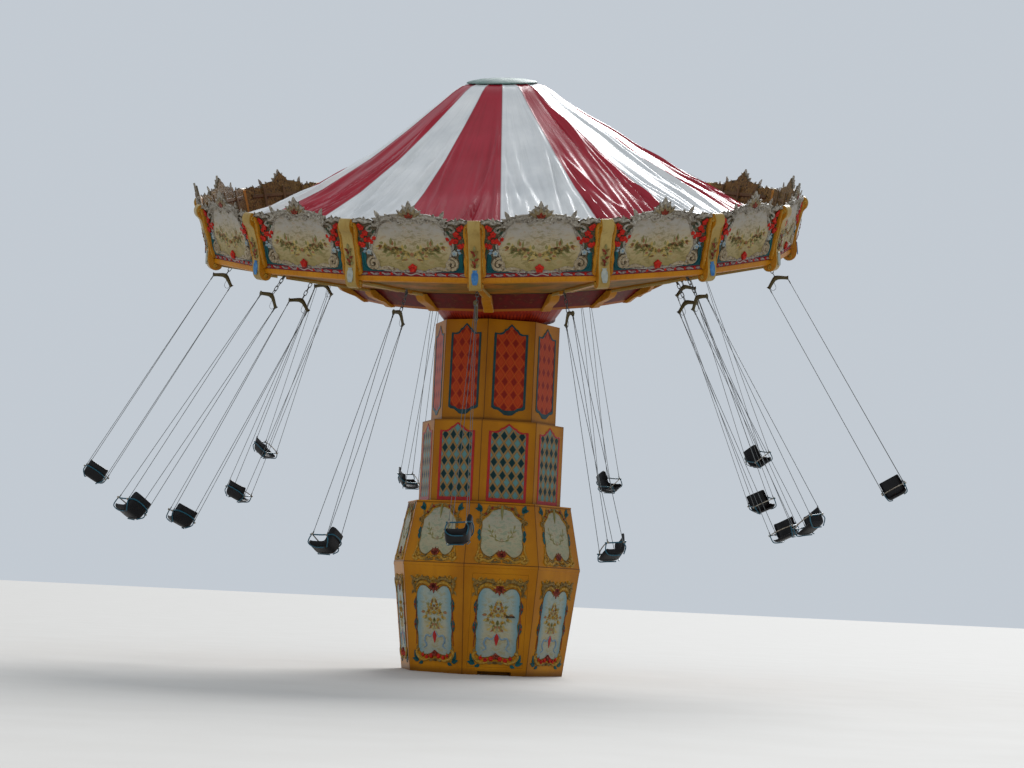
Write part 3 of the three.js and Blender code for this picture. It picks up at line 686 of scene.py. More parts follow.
def canopy_finish():
    """Coated cloth in crimson and white gores, seamed on the radii and creased, with painted shade
    in streaks.
    """
    f = Finish("striped_canopy", 0.36, 0.0, 0.5, 0.15)
    f.shader.inputs["Coat Roughness"].default_value = 0.34
    x, y, _ = f.crown_point()
    reach = (x * x + y * y).root()
    around, _, _ = f.split(f.mapped("UVMap"))
    gore = around * 16.0
    stripe = ((gore / 2.0).wrapped() - 0.5).above(0.0)
    seam = (0.5 - (gore.wrapped() - 0.5).size()) * (BAY * pi / 180) * reach
    cloud = f.noise(f.point(), 1.4, 4.0)
    fan = f.noise(f.add("CombineXYZ", {}, {0: gore * 5.0, 1: reach * 0.3}), 3.0, 2.0)
    red = f.blend(cloud.ramp(0.3, 0.7), (150, 6, 30), (168, 14, 42))
    white = f.blend(cloud.ramp(0.3, 0.7), (208, 210, 210), (232, 232, 230))
    f.ground(stripe, white, red)
    # Painted shade: each stripe darkens in streaks along its creases.
    shade = f.blend(stripe, (172, 174, 174), (104, 4, 20))
    f.coat(fan.ramp(0.5, 0.85) * 0.35, shade)
    f.coat((1.0 - seam.ramp(0.008, 0.02)) * 0.35, (110, 60, 66))
    return f.done(fan, 0.03, 0.25, fan * 0.2 + 0.3)


def board_finish():
    """The rim boards: a red and silver scroll strip at the foot, umber above."""
    f = Finish("rim_board_paint", 0.5, 0.0, 0.0, 0.15)
    plan = f.mapped()
    u, v, _ = f.split(plan)
    cloud = f.noise(plan, 7.0, 4.0)
    fine = f.noise(plan, 38.0, 4.0)
    f.ground(cloud.ramp(0.35, 0.65), (84, 72, 54), (112, 98, 74))
    f.coat(fine.ramp(0.46, 0.6) * 0.8, (44, 34, 26))
    curve = ((u * 28.0).sine() * 0.014 + 0.045 - v).size()
    strip = v.below(0.09)
    f.coat(strip, f.blend(cloud.ramp(0.4, 0.6), (120, 26, 34), (96, 40, 50)))
    f.coat(strip * (1.0 - curve.ramp(0.006, 0.014)), (160, 152, 142))
    return f.done(fine, 0.004, 0.4, cloud * 0.2 + 0.34)


def rope_finish():
    """Galvanised wire rope: grey strands wound slantwise."""
    f = Finish("wire_rope", 0.42, 0.7)
    p = f.point()
    x, y, z = f.split(p)
    lay = ((z + (x + y) * 0.6) * 480.0).sine()
    cloud = f.noise(p, 30.0, 3.0)
    # Painted shade and highlight: darker in the grooves between the strands, lighter on their
    # crests.
    f.ground(lay.ramp(-0.6, 0.6), (84, 88, 90), (116, 120, 120))
    f.coat(cloud.ramp(0.55, 0.8) * 0.5, (62, 54, 46))
    return f.done(lay, 0.002, 0.4)


def plastic_finish():
    """Moulded black plastic with a fine grain and scuffed edges."""
    f = Finish("seat_plastic", 0.45, 0.0, 0.0, 0.2)
    p = f.point()
    grain = f.noise(p, 180.0, 3.0)
    scuff = f.noise(p, 9.0, 5.0)
    f.ground(scuff.ramp(0.5, 0.8), (13, 13, 16), (32, 32, 34))
    return f.done(grain, 0.001, 0.4, scuff * 0.25 + 0.3)


class Kit:
    """Carved and painted pieces for one ornament, on both sides of its middle line."""

    def __init__(self):
        self.parts = []

    def put(self, piece, finish):
        self.parts.append(dress(piece, finish))

    def board(self, name, half, thick, finish, back=0.0, edge=0.0, smooth=0):
        outline = both_sides(half)
        if smooth:
            outline = rounded(outline, smooth)
        self.put(sawn(name, [outline], thick, back, edge), finish)
        return outline

    def bar(self, name, points, thick, ends, finish, lift=0.01, steps=4):
        for s in (1, -1):
            line = smooth_line([(s * x, y, lift) for x, y in points], steps)
            self.put(swept(name, line, taper(len(line), thick, ends)), finish)

    def scroll(self, name, x, y, radius, turns, start, thick, ends, finish, hand=1, lift=0.01):
        for s in (1, -1):
            line = [(s * px, py, lift) for px, py in curl(x, y, radius, turns, start, hand)]
            self.put(swept(name, line, taper(len(line), thick, ends)), finish)

    def leaves(self, name, rows, finish, thick=0.012, back=0.0):
        """Each row gives x, y, length, width and angle."""
        for x, y, length, width, angle in rows:
            for s in ((1, -1) if x or angle % 180 else (1,)):
                self.put(leaf(name, s * x, y, length, width, s * angle, thick, back), finish)

    def flowers(self, name, rows, finish, lift=0.006):
        """Each row gives x, y and radius."""
        for x, y, radius in rows:
            for s in ((1, -1) if x else (1,)):
                self.put(bloom(name, s * x, y, lift, radius), finish)

    def edging(self, name, outline, radius, finish, lift=0.006, sides=0):
        self.put(swept(name, [(x, y, lift) for x, y in outline], radius, sides, True), finish)

    def made(self, name, angle=40):
        return assembled(name, self.parts, angle)


# Tower

for name in ("upper_casing", "middle_casing"):
    dress(nodes[name], WALL)
for name in ("base_floor", "base_lower_shell", "base_upper_shell", "base_belt", "base_top_deck",
        "access_door"):
    dress(nodes[name], BASE)
for name in ("turntable_mast", "middle_mast", "inner_mast", "mast_head", "tilt_cradle",
        "crown_hub", "king_post", "arm_frame"):
    dress(nodes[name], STEEL)
dress(nodes["soffit"], soffit_finish())
dress(nodes["crown_band"], band_finish())
dress(nodes["neck_skirt"], neck_finish())
dress(nodes["rim_moulding"], ORANGE)

LATTICE_RED = diamond_cloth("lattice_red", (166, 54, 14), (132, 30, 12), (182, 88, 26),
    (174, 62, 18), 0.19, 0.262, 0.35, (0.095, 0.0))
LATTICE_TEAL = diamond_cloth("lattice_teal", (118, 96, 58), (4, 44, 46), (176, 118, 30),
    (84, 128, 128), 0.188, 0.266, 0.37, (0.094, 0.0))


def ogee_half(half_width, low, high, tip, lobe, lobe_half):
    """Right half of a tall panel with an ogee point above and a lobe below."""
    return [(0, low - lobe), (lobe_half * 0.45, low - lobe * 0.93),
        (lobe_half * 0.8, low - lobe * 0.5), (lobe_half * 1.15, low - lobe * 0.14),
        (half_width * 0.86, low - 0.004), (half_width, low + 0.03), (half_width, high - 0.03),
        (half_width * 0.98, high), (half_width * 0.72, high - 0.01),
        (half_width * 0.54, high + tip * 0.06), (half_width * 0.45, high + tip * 0.2),
        (half_width * 0.4, high + tip * 0.4), (half_width * 0.26, high + tip * 0.52),
        (half_width * 0.14, high + tip * 0.76), (0, high + tip)]


def painted_frame(name, half, border, field_finish, edge_finish, foot=None):
    """A border strip and its field, made as thin sheets on the wall."""
    outer = both_sides(half)
    centre = sum(y for _, y in half) / len(half)
    tall = max(y for _, y in half) - min(y for _, y in half)
    wide = 2 * max(x for x, _ in half)
    low = border if foot is None else foot
    inner = [(x * (1 - 2 * border / wide), centre + (y - centre) * (1 - 2 * border / tall))
        for x, y in outer]
    floor_y = min(y for _, y in outer)
    inner = [(x, max(y, floor_y + low)) for x, y in inner]
    kit = Kit()
    kit.put(sawn(name + "_field", [inner], 0.004), field_finish)
    kit.put(sawn(name + "_border", [outer, inner], 0.009, 0.0, 0.002), edge_finish)
    return kit.made(name, 35)


facet_centres = [CASING_AZIMUTH + FACET / 2 + FACET * i for i in range(8)]
upper_panel = painted_frame("upper_panel", ogee_half(0.355, 0.22, 1.77, 0.19, 0.12, 0.19), 0.05,
    LATTICE_RED, BORDER, 0.1)
repeated(upper_panel, "upper_panel", [facing(a, UPPER_CASING_REACH * FACET_COS, UPPER_CASING_FOOT)
    for a in facet_centres], "upper_stage")
middle_half = [(0, 0.0), (0.2, 0.0), (0.41, 0.0), (0.415, 0.02)] + ogee_half(0.415, 0.0, 1.42,
    0.16, 0.1, 0.2)[6:]
middle_panel = painted_frame("middle_panel", middle_half, 0.055, LATTICE_TEAL, CRIMSON, 0.006)
repeated(middle_panel, "middle_panel",
    [facing(a, MIDDLE_CASING_REACH * FACET_COS, MIDDLE_CASING_FOOT) for a in facet_centres],
    "middle_stage")

UPPER_WASH = wash("cartouche_cream", (154, 150, 132), (162, 156, 128), (148, 142, 114),
    (112, 128, 104), (140, 122, 96), 1.0)
LOWER_WASH = wash("cartouche_blue", (146, 156, 146), (166, 158, 130), (126, 146, 146),
    (140, 126, 76), (116, 132, 124), 1.4, (0.25, 0.4, (92, 138, 152)))
SPRAY = worn_paint("soft_gold_sprays", (154, 130, 66), (118, 92, 46), (176, 156, 96))
UMBER = worn_paint("umber_sprays", (132, 86, 52), (96, 58, 34), (150, 110, 74))

random.seed(7)


def upper_base_kit():
    """Bracket-outlined cream cartouche with its scrolls, for a sloping upper facet."""
    kit = Kit()
    half = cm((0, 27), (9, 25), (20, 16), (30, 16.5), (39, 24), (43, 36), (41.5, 50), (43, 62),
        (40, 78), (40.5, 90), (31, 96), (25, 106), (10, 113), (0, 113))
    outline = kit.board("wash", half, 0.006, UPPER_WASH, 0.0, 0.001, 3)
    kit.edging("edge", outline, 0.011, BRONZE)
    # The arched head and its leaves.
    kit.bar("arch", cm((6, 117), (16, 116.5), (26, 112), (32, 103), (40, 98), (45, 93)), 0.026,
        0.012, BRONZE)
    kit.flowers("arch_bud", cm((20, 114, 3.5), (33, 102, 3)), RUSSET, 0.02)
    kit.leaves("arch_leaf", cm((12, 116, 10, 5, 60), (28, 110, 11, 5, 15), (30, 106, 10, 5, -150),
        (40, 98, 10, 5, -30), (42, 94, 10, 5, 170)), BRONZE)
    kit.bar("under_arch", cm((10, 112), (20, 109), (27, 100), (35, 93), (41, 86)), 0.014, 0.006,
        GOLD)
    kit.scroll("twist", 0.47, 0.87, 0.055, 1.3, 200, 0.018, 0.008, BRONZE)
    kit.leaves("corner_leaf", cm((43, 108, 16, 10, -20), (42, 110, 13, 8, -80),
        (45, 105, 10, 6, 30)), TEAL)
    # The sides and the foot.
    kit.leaves("side_leaf", cm((45.5, 57, 15, 8, 0), (45.5, 60, 14, 8, 180)), TEAL)
    kit.bar("foot_scroll", cm((4, 10), (14, 13), (26, 6), (38, 9), (46, 5), (53, 11), (48, 15)),
        0.034, 0.014, GOLD, 0.008)
    kit.bar("foot_under", cm((2, 6), (16, 5), (30, 12), (42, 6)), 0.024, 0.01, BRONZE, 0.007)
    kit.scroll("foot_twist", 0.42, 0.16, 0.06, 1.3, 250, 0.022, 0.01, GOLD)
    kit.scroll("foot_inner_twist", 0.2, 0.1, 0.05, 1.2, 90, 0.02, 0.008, BRONZE, -1)
    kit.leaves("foot_leaf", cm((10, 10, 12, 6, 75), (30, 8, 12, 6, 100), (50, 12, 12, 6, 10),
        (34, 14, 10, 5, -40), (14, 5, 12, 5, -95), (42, 5, 10, 5, -80)), BRONZE)
    kit.bar("side_scroll", cm((51, 12), (49, 22), (45.5, 32), (47, 42)), 0.018, 0.008, GOLD, 0.006)
    kit.bar("high_scroll", cm((46, 74), (43, 82), (44, 90)), 0.014, 0.006, BRONZE, 0.006)
    kit.flowers("bud", cm((10, 6, 2.4), (33, 10, 2.6), (22, 12, 2.2)), LEAF_GREEN)
    kit.leaves("shell", cm((0, 14, 17, 7, 0), (0, 15, 16, 6, 26), (0, 15, 14, 6, 52)), RUSSET,
        0.02)
    # A drop and two sprigs on the field.
    kit.put(swept("pendant", [(0, 1.2, 0.01), (0, 1.1, 0.012), (0, 1.0, 0.01), (0, 0.9, 0.006)],
        [0.02, 0.03, 0.02, 0.005]), OLIVE)
    kit.bar("sprig_stem", cm((0, 46), (10, 50), (20, 60), (25, 74)), 0.007, 0.003, OLIVE, 0.006)
    kit.leaves("sprig_leaf", cm((7, 48, 9, 3.5, -70), (12, 53, 9, 3.5, -10), (17, 56, 9, 3.5, -75),
        (20, 63, 9, 3.5, 15), (23, 66, 8, 3, -60), (25, 73, 9, 3.5, -10)), OLIVE, 0.004, 0.005)
    kit.flowers("sprig_bud", cm((0, 50, 3.5), (14, 66, 2)), CURL_CREAM, 0.005)
    return kit.made("upper_base_kit")


def lower_base_kit():
    """Tall pale-blue cartouche with a gold head, a russet shell and flowers at its foot."""
    kit = Kit()
    half = cm((0, 40), (20, 35), (34, 38), (41, 48), (41, 70), (43, 85), (40.5, 100), (43, 115),
        (43, 150), (40, 164), (32, 173), (20, 173), (10, 166), (0, 166))
    outline = kit.board("wash", half, 0.006, LOWER_WASH, 0.0, 0.001, 3)
    kit.edging("edge", outline, 0.010, BRONZE)
    # The gold head.
    kit.bar("head_scroll", cm((5, 182), (16, 186), (28, 188), (40, 183), (47, 185), (51, 178),
        (48, 170), (46, 158)), 0.04, 0.014, BRONZE)
    kit.bar("head_under", cm((8, 174), (20, 179), (33, 179), (43, 170)), 0.034, 0.012, GOLD)
    kit.leaves("head_curl", cm((18, 180, 14, 7, 80), (30, 182, 13, 6, 110), (42, 180, 12, 6, 60),
        (44, 170, 12, 6, 20), (24, 186, 12, 6, 60), (46, 176, 12, 6, 180)), BRONZE)
    kit.scroll("head_twist", 0.4, 1.9, 0.05, 1.2, 180, 0.016, 0.006, GOLD, -1)
    kit.leaves("head_leaf", cm((12, 186, 8, 5, -30), (30, 188, 7, 5, 20), (50, 186, 10, 6, -50),
        (50, 164, 10, 5, -150)), BRONZE)
    # The sides and the foot, with its flowers.
    for y in (1.32, 0.92):
        kit.leaves("side_leaf", [(0.455, y, 0.16, 0.09, 0), (0.455, y + 0.05, 0.15, 0.08, 180)],
            TEAL)
        kit.flowers("stud", [(0.475, y + 0.02, 0.026)], RUSSET, 0.012)
    kit.bar("side_line", cm((45, 150), (46, 138), (44.5, 120), (46, 100), (44.5, 80), (45.5, 55)),
        0.011, 0.007, RUSSET, 0.006, 3)
    kit.bar("foot_scroll", cm((12, 28), (26, 24), (40, 30), (45, 40), (38, 46)), 0.034, 0.012,
        GOLD)
    kit.leaves("foot_curl", cm((16, 24, 12, 6, 85), (34, 30, 13, 6, 30), (42, 40, 13, 6, -10),
        (6, 26, 12, 6, 100)), BRONZE)
    kit.leaves("corner_leaf", cm((44, 24, 20, 10, -20), (40, 22, 17, 9, -75),
        (30, 20, 12, 7, -110)), TEAL)
    kit.flowers("bloom", cm((9, 33, 5.5), (20, 30, 5), (30, 34, 4.2)), RED)
    kit.flowers("bloom_middle", cm((0, 38, 7)), RUSSET, 0.01)
    kit.leaves("shell", cm((0, 178, 20, 8, 180), (0, 178, 18, 7, 152), (0, 178, 16, 7, 124)),
        RUSSET, 0.02)
    kit.leaves("crest", cm((0, 180, 13, 7, 0), (0, 180, 12, 6, 35), (0, 180, 11, 5, 70)), GOLD,
        0.02)
    # A round spray of leaves with blooms, over a ribbon and a drop.
    rows = []
    for _ in range(44):
        a = pi * random.random()
        ring = 0.23 * sqrt(random.random())
        rows.append((0.008 + ring * sin(a), 1.16 + ring * 1.2 * cos(a), random.uniform(0.06, 0.1),
            random.uniform(0.035, 0.055), -degrees(a) + random.uniform(-50, 50)))
    kit.leaves("spray_leaf", rows[:14], OLIVE, 0.004, 0.004)
    kit.leaves("spray_gold_leaf", rows[14:36], SPRAY, 0.005, 0.004)
    kit.leaves("spray_umber_leaf", rows[36:], UMBER, 0.005, 0.004)
    kit.leaves("spray_stem", cm((0, 86, 24, 3, 0), (2, 86, 22, 2.5, -22)), OLIVE, 0.005, 0.003)
    kit.flowers("spray_bloom", cm((0, 120, 4.5), (13, 124, 3.5), (10, 106, 3.5), (20, 112, 3),
        (7, 136, 3.5)), GOLD, 0.008)
    kit.bar("ribbon", cm((2, 82), (10, 72), (20, 74), (25, 64), (20, 54), (27, 48)), 0.02, 0.005,
        HAZE, 0.006)
    kit.leaves("drop", cm((0, 84, 26, 9, 180)), CRIMSON, 0.008, 0.004)
    return kit.made("lower_base_kit")


base_centres = [BASE_AZIMUTH + FACET / 2 + FACET * i for i in range(8)]
upper_lean = -degrees(atan2((BELT_REACH - DECK_REACH) * FACET_COS, DECK_HEIGHT - BELT_HEIGHT))
lower_lean = degrees(atan2((BELT_REACH - FOOT_REACH) * FACET_COS, LOWER_SHELL_HEIGHT))
upper_facets = [facing(a, BELT_REACH * FACET_COS, BELT_HEIGHT, upper_lean) for a in base_centres]
lower_facets = [facing(a, FOOT_REACH * FACET_COS, 0.0, lower_lean) for a in base_centres]
repeated(upper_base_kit(), "upper_cartouche", upper_facets, "base")
repeated(lower_base_kit(), "lower_cartouche", lower_facets, ["door"] + ["base"] * 7)


def door_handle():
    """The black grab bar on the door, with a rounded back and two feet."""
    kit = Kit()
    low, high = 1.167, 1.195
    kit.put(box("grip", 0.157, 0.333, low, high, 0.022, 0.028, 0.005), DARK)
    for x in (0.168, 0.296):
        kit.put(box("foot", x, x + 0.026, low, high, 0.028, 0.001), DARK)
    return kit.made("door_handle")


repeated(door_handle(), "door_handle", lower_facets[:1], "door")

# Canopy

random.seed(11)
# The tent's side view from its hem to the cap: distance from the axis and height.
TENT_LINE = [(5.9, 1.36), (4.86, 1.75), (3.8, 2.25), (2.8, 2.84), (1.96, 3.425), (1.29, 3.92),
    (1.05, 4.11), (0.92, 4.198), (0.82, 4.247), (0.72, 4.27), (0.67, 4.272)]
HEM, TOP = TENT_LINE[0][0], TENT_LINE[-1][0]
GORE_AZIMUTH = 0.5
CLOTH_ROWS, GORE_COLUMNS = 46, 50
# The cloth and its cap lean a little to one side of the axis, as they hang.
TOP_LEAN, CAP_OFF = 0.028, 0.08
CAP_REACH, CAP_HEIGHT = 0.73, 4.29
# Long creases in each of four gores in turn.
LONG_CREASES = (1, 6, 2, 1)
# Metres that the cloth dips between its seams and rises on them, and degrees that all its seams
# and those towards the back slip round.
SEAM_DIP, SEAM_RIDGE, SEAM_SLIP, BACK_SLIP = 0.035, 0.012, 4.0, 14.0


def tent_height(reach):
    for (r0, z0), (r1, z1) in zip(TENT_LINE, TENT_LINE[1:]):
        if reach >= r1:
            return z0 + (z1 - z0) * (reach - r0) / (r1 - r0)
    return TENT_LINE[-1][1]


def gathered(x, high=1.0):
    """0 below 0 and 1 above high, with an even sweep between them."""
    x = min(1.0, max(0.0, x / high))
    return x * x * (3 - 2 * x)


def gore_creases(long_ones):
    """Creases that leave a gore's seams part way down and fan towards its hem.

    Each has the side it starts from, the reach where it starts, how far it swings across the
    gore, its width and its height.
    """
    between = random.uniform
    creases = []
    for i in range(long_ones):
        creases.append((1, between(0.7, 1.2), 0.1 + 0.78 * i / long_ones, between(0.045, 0.075),
            between(0.03, 0.055)))
    for side in (0, 1):
        for _ in range(6):
            creases.append((side, between(1.3, 3.2), between(0.04, 0.62), between(0.04, 0.08),
                between(0.012, 0.045)))
    for _ in range(4):
        creases.append((between(0.2, 0.8), between(2.0, 3.6), between(-0.1, 0.1),
            between(0.04, 0.09), between(0.01, 0.03)))
    return creases


def crease_lift(creases, t, reach):
    """What a gore's creases add at share t of its width: ridges, with a hollow on each side."""
    lift = 0.0
    arc = radians(BAY) * reach
    for start, first, swing_out, width, tall in creases:
        if reach <= first:
            continue
        travel = ((reach - first) / (HEM - first)) ** 0.85 * swing_out
        middle = 1 - travel if start == 1 else start + travel
        off = (t - middle) * arc / width
        if abs(off) < 4:
            ridge = exp(-off * off) - 0.55 * exp(-(abs(off) - 1.7) ** 2)
            lift += tall * ridge * gathered(reach - first, 1.3)
    return lift


def canopy():
    """One striped sheet, pulled from the top ring to the rim, with creases that fan down."""
    clear()
    bpy.ops.mesh.primitive_grid_add(x_subdivisions=BAYS * GORE_COLUMNS, y_subdivisions=CLOTH_ROWS,
        size=1, location=(0, 0, 0))
    sheet = bpy.context.object
    sheet.name = sheet.data.name = "canopy_sheet"
    creases = [gore_creases(LONG_CREASES[gore % 4]) for gore in range(BAYS)]
    for vertex in sheet.data.vertices:
        u = vertex.co.x + 0.5
        v = vertex.co.y + 0.5
        gore = int(u * BAYS + 1e-6) % BAYS
        t = (u * BAYS + 1e-6) % 1.0
        reach = TOP + (HEM - TOP) * (v ** 0.85)
        dip = SEAM_DIP * sin(pi * t) * sin(pi * min(1, (reach - TOP) / (HEM - TOP)))
        seam = min(t, 1 - t) * radians(BAY) * reach
        lift = crease_lift(creases[gore], t, reach) * gathered(seam, 0.1)
        lift += SEAM_RIDGE * exp(-(seam / 0.03) ** 2)
        hem = 1 - 0.5 * gathered(reach - 5.5, 0.4)
        around = GORE_AZIMUTH + 360 * u
        around -= SEAM_SLIP * (1 - cos(radians(around)))
        left = (360 - 360 * u) % 360
        around -= BACK_SLIP * gathered(left - 70, 26) * (1 - gathered(left - 96, 84))
        height = tent_height(reach)
        lean = TOP_LEAN * (height - TENT_LINE[0][1])
        # The cloth stands fuller on one side of the axis than on the other.
        fuller = gathered(reach - 1.1, 1.5) * (1 - gathered(reach - 3.9, 2.0))
        height += (0.06 + 0.115 * sin(radians(around))) * fuller
        vertex.co = outward(around) * reach + Vector((lean, 0, height - dip + lift * hem))
    tidy_mesh(sheet, 0.002, False)
    finish_modifier(sheet, "SOLIDIFY", thickness=0.006, offset=-1.0)
    soften(sheet, 60)
    dress(sheet, canopy_finish())
    set_down(sheet, CROWN)
    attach(sheet, "crown")
    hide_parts("canopy")


canopy()


def cap():
    """The thin dished cap that clamps the cloth, its edge a little beaten."""
    piece = disc("cap", 48, CAP_REACH, (CAP_OFF, 0, CAP_HEIGHT))
    bpy.ops.mesh.select_all(action="SELECT")
    draw_out((0, 0, 0.022))
    for thickness, depth in ((0.05, 0.022), (0.24, 0.046), (0.3, 0.02)):
        bpy.ops.mesh.inset(thickness=thickness, depth=depth)
    bpy.ops.mesh.select_all(action="SELECT")
    bpy.ops.transform.vertex_random(offset=0.006, seed=5)
    leave()
    return assembled("cap", [dress(piece, CAP_GREEN)], 30)


repeated(cap(), "canopy_cap_plate", [CROWN], "crown", ("canopy_cap",))

# Rim

PANEL_WASH = wash("panel_cream", (158, 152, 142), (172, 156, 118), (140, 126, 76), (112, 98, 52),
    (146, 116, 74), 0.98)
BOARD = board_finish()

random.seed(23)


def rim_panel():
    """One board of the rim, with its painted cartouche, scrolls, flowers and shell crest."""
    kit = Kit()
    board_half = cm((0, 0), (117, 0), (121.5, 107), (105, 109), (96, 112), (87, 107), (80, 110),
        (72, 106), (64, 108), (62, 116), (50, 115), (38, 118.5), (22, 120), (14, 129), (6, 133),
        (0, 140))
    kit.board("board", board_half, 0.026, BOARD, -0.026)
    kit.board("back", [(x * 0.985, 0.01 + y * 0.985) for x, y in board_half], 0.006, GILT, -0.032)
    # What holds the board from behind.
    for y in (0.16, 0.86):
        kit.put(box("rail", -1.0, 1.0, y, y + 0.07, 0.03, -0.062, 0.004), BRACE)
    for x in (-0.62, 0.0, 0.62):
        kit.put(box("brace", x - 0.03, x + 0.03, 0.06, 1.08, 0.024, -0.084, 0.004), BRACE)
    # The cartouche, its frame and the carved top.
    half = cm((0, 10), (30, 10.5), (56, 13), (66, 20), (72, 38), (77, 51), (74.5, 64), (68, 75.5),
        (63, 89), (58, 98), (49, 105), (30, 107.5), (19, 104), (10, 107), (0, 108))
    outline = kit.board("wash", half, 0.008, PANEL_WASH, 0.0, 0.001, 3)
    radii = [0.013 + 0.009 * abs(sin(i * 1.3)) for i in range(len(outline))]
    kit.edging("frame_scroll", outline, radii, SILVER, 0.01, 1)
    band = cm((62, 93), (70, 99), (66, 109), (62, 116.5), (50, 115.5), (38, 119), (22, 120.5),
        (14, 129), (6, 133.5), (0, 141))
    inner = cm((0, 109), (10, 108), (19, 104.5), (30, 108.5), (46, 106.5), (56, 100))
    ring = band + mirrored(band[:-1]) + mirrored(inner) + inner[1:]
    kit.put(sawn("top_band", [ring], 0.03, 0.0, 0.005), SILVER)
    kit.bar("top_scroll", cm((16, 114), (28, 115), (40, 112), (52, 110), (60, 102), (68, 98),
        (72, 102)), 0.034, 0.012, SILVER, 0.034)
    kit.scroll("top_twist", 0.34, 1.12, 0.06, 1.3, 160, 0.02, 0.008, SILVER, 1, 0.036)
    kit.scroll("end_twist", 0.58, 1.1, 0.055, 1.3, 20, 0.02, 0.008, SILVER, 1, 0.036)
    kit.scroll("band_drop", 0.2, 1.05, 0.045, 1.1, 90, 0.018, 0.008, SILVER, -1, 0.024)
    kit.bar("shoulder_scroll", cm((72, 103), (80, 105), (88, 103), (96, 107), (106, 105),
        (114, 103)), 0.032, 0.014, SILVER, 0.014)
    kit.bar("shoulder_low", cm((70, 97), (78, 96), (84, 90), (78, 86), (74, 90)), 0.024, 0.01,
        SILVER, 0.014)
    kit.bar("drop_scroll", cm((66, 88), (70, 80), (76, 72), (80, 62), (79, 52)), 0.026, 0.01,
        SILVER, 0.014)
    kit.leaves("spike", cm((58, 111, 18, 8, -28), (62, 108, 12, 6, -72), (86, 102, 13, 7, -10),
        (104, 102, 11, 6, -24), (42, 112, 10, 7, -30)), SILVER, 0.02)
    # Low corners, curls and roses beside the cartouche.
    corner = cm((97, 46), (90, 44), (88, 38), (90, 28), (85, 18), (74, 13), (60, 11.5), (44, 11.5),
        (44, 9.5), (97, 9.5))
    for outline in (corner, [(-x, y) for x, y in corner[:1] + corner[:0:-1]]):
        kit.put(sawn("teal_corner", [outline], 0.014, 0.0, 0.002), TEAL)
    kit.bar("teal_edge", cm((94, 46), (95, 34), (94, 20), (86, 13), (70, 11)), 0.02, 0.008, TEAL,
        0.014)
    kit.scroll("curl", 0.745, 0.25, 0.13, 1.5, 100, 0.04, 0.016, CURL_CREAM, -1, 0.016)
    kit.bar("curl_tail", cm((70, 13), (60, 15), (50, 17), (40, 15), (32, 13)), 0.034, 0.008,
        CURL_CREAM, 0.012)
    kit.flowers("rose", cm((94, 93, 6), (87, 83, 6.5), (80, 70, 6), (71, 74, 5), (93, 60, 6),
        (98.5, 97, 4.5), (86, 70, 5.5), (76, 66, 4.5), (99, 62, 5), (93, 77, 4.5)), RED, 0.012)
    kit.leaves("rose_leaf", cm((84, 88, 10, 5, 60), (100, 82, 10, 5, -40), (84, 62, 10, 5, 150),
        (98, 70, 10, 5, -60), (74, 82, 9, 5, 40), (96, 54, 9, 5, 200)), LEAF_GREEN, 0.012)
    kit.leaves("rosette_leaf", cm((86, 52, 9, 5, -70), (82, 50, 10, 5, 160), (88, 49, 8, 5, -120)),
        HAZE, 0.012)
    kit.flowers("rosette", cm((82, 47, 6)), URN_GREY, 0.012)
    kit.flowers("rosette_eye", cm((82, 47, 3)), HAZE, 0.034)
    # The strip at the foot and the shell crest.
    for x in (0.2, 0.42, 0.64, 0.86, 1.04):
        kit.flowers("strip_bud", [(x, 0.05, 0.03)], RED, 0.001)
        kit.leaves("strip_leaf", [(x + 0.03, 0.05, 0.13, 0.045, -100)], MAUVE, 0.008)
    kit.leaves("strip_scroll", cm((5, 10, 12, 5, -75), (14, 9, 12, 5, -105), (26, 12, 12, 5, -80),
        (34, 10, 10, 5, -110)), MAUVE, 0.012)
    kit.flowers("foot_bloom", cm((0, 17, 9)), RED, 0.012)
    kit.leaves("shell", cm((0, 114, 20, 9, 0), (4, 114, 19, 8, -26), (8, 114, 17, 8, -52),
        (12, 114, 13, 7, -76)), SHELL, 0.044)
    kit.leaves("shell_heart", cm((0, 113, 12, 8, 0), (2, 113, 10, 5, -40)), RUSSET, 0.056)
    kit.leaves("shell_tip", cm((0, 129, 17, 9, 0), (5, 127, 13, 6, -34), (14, 120, 12, 6, -50)),
        SILVER, 0.04)
    kit.bar("shell_rim", cm((2, 112), (12, 113), (20, 118)), 0.02, 0.012, SILVER, 0.04)
    # A garland in three tones that rises towards its ends.
    for finish, many in ((OLIVE, 26), (SPRAY, 20), (UMBER, 9)):
        rows = []
        for _ in range(many):
            x = random.uniform(0.01, 0.58)
            thick = 0.24 * (1 - x / 0.8)
            rows.append((x, 0.44 + 0.5 * x * x + random.gauss(0, 0.4) * thick,
                random.uniform(0.08, 0.15), random.uniform(0.04, 0.065), random.uniform(-170, 10)))
        kit.leaves("garland_leaf", rows, finish, 0.004, 0.006)
    kit.flowers("garland_bud", cm((0, 43, 4), (21, 47, 2.8), (40, 53, 2.4)), UMBER, 0.007)
    return kit.made("rim_panel_kit")


panel_places = [CROWN @ facing(ARM_AZIMUTH + BAY * (i + 0.5), RIM_REACH * cos(radians(BAY / 2)),
    RIM_FOOT, RIM_LEAN) for i in range(BAYS)]
repeated(rim_panel(), "rim_panel", panel_places, "crown",
    ("rim_section_1", "rim_section_2", "rim_section_3", "rim_section_4"))

# Side view of a pilaster: distance from the axis and height on the crown.
PILASTER_SIDE = [(5.85, 0.772), (5.862, 0.712), (5.915, 0.668), (5.99, 0.658), (6.062, 0.684),
    (6.112, 0.742), (6.13, 0.806), (6.141, 0.905), (6.124, 1.06), (6.139, 1.24), (6.217, 1.527),
    (6.256, 1.67), (6.326, 1.745), (6.354, 1.82), (6.35, 1.89), (6.312, 1.952), (6.255, 1.968),
    (6.214, 1.93), (6.205, 1.86), (6.156, 1.64), (6.058, 1.2), (5.996, 0.912), (6.0, 0.78)]
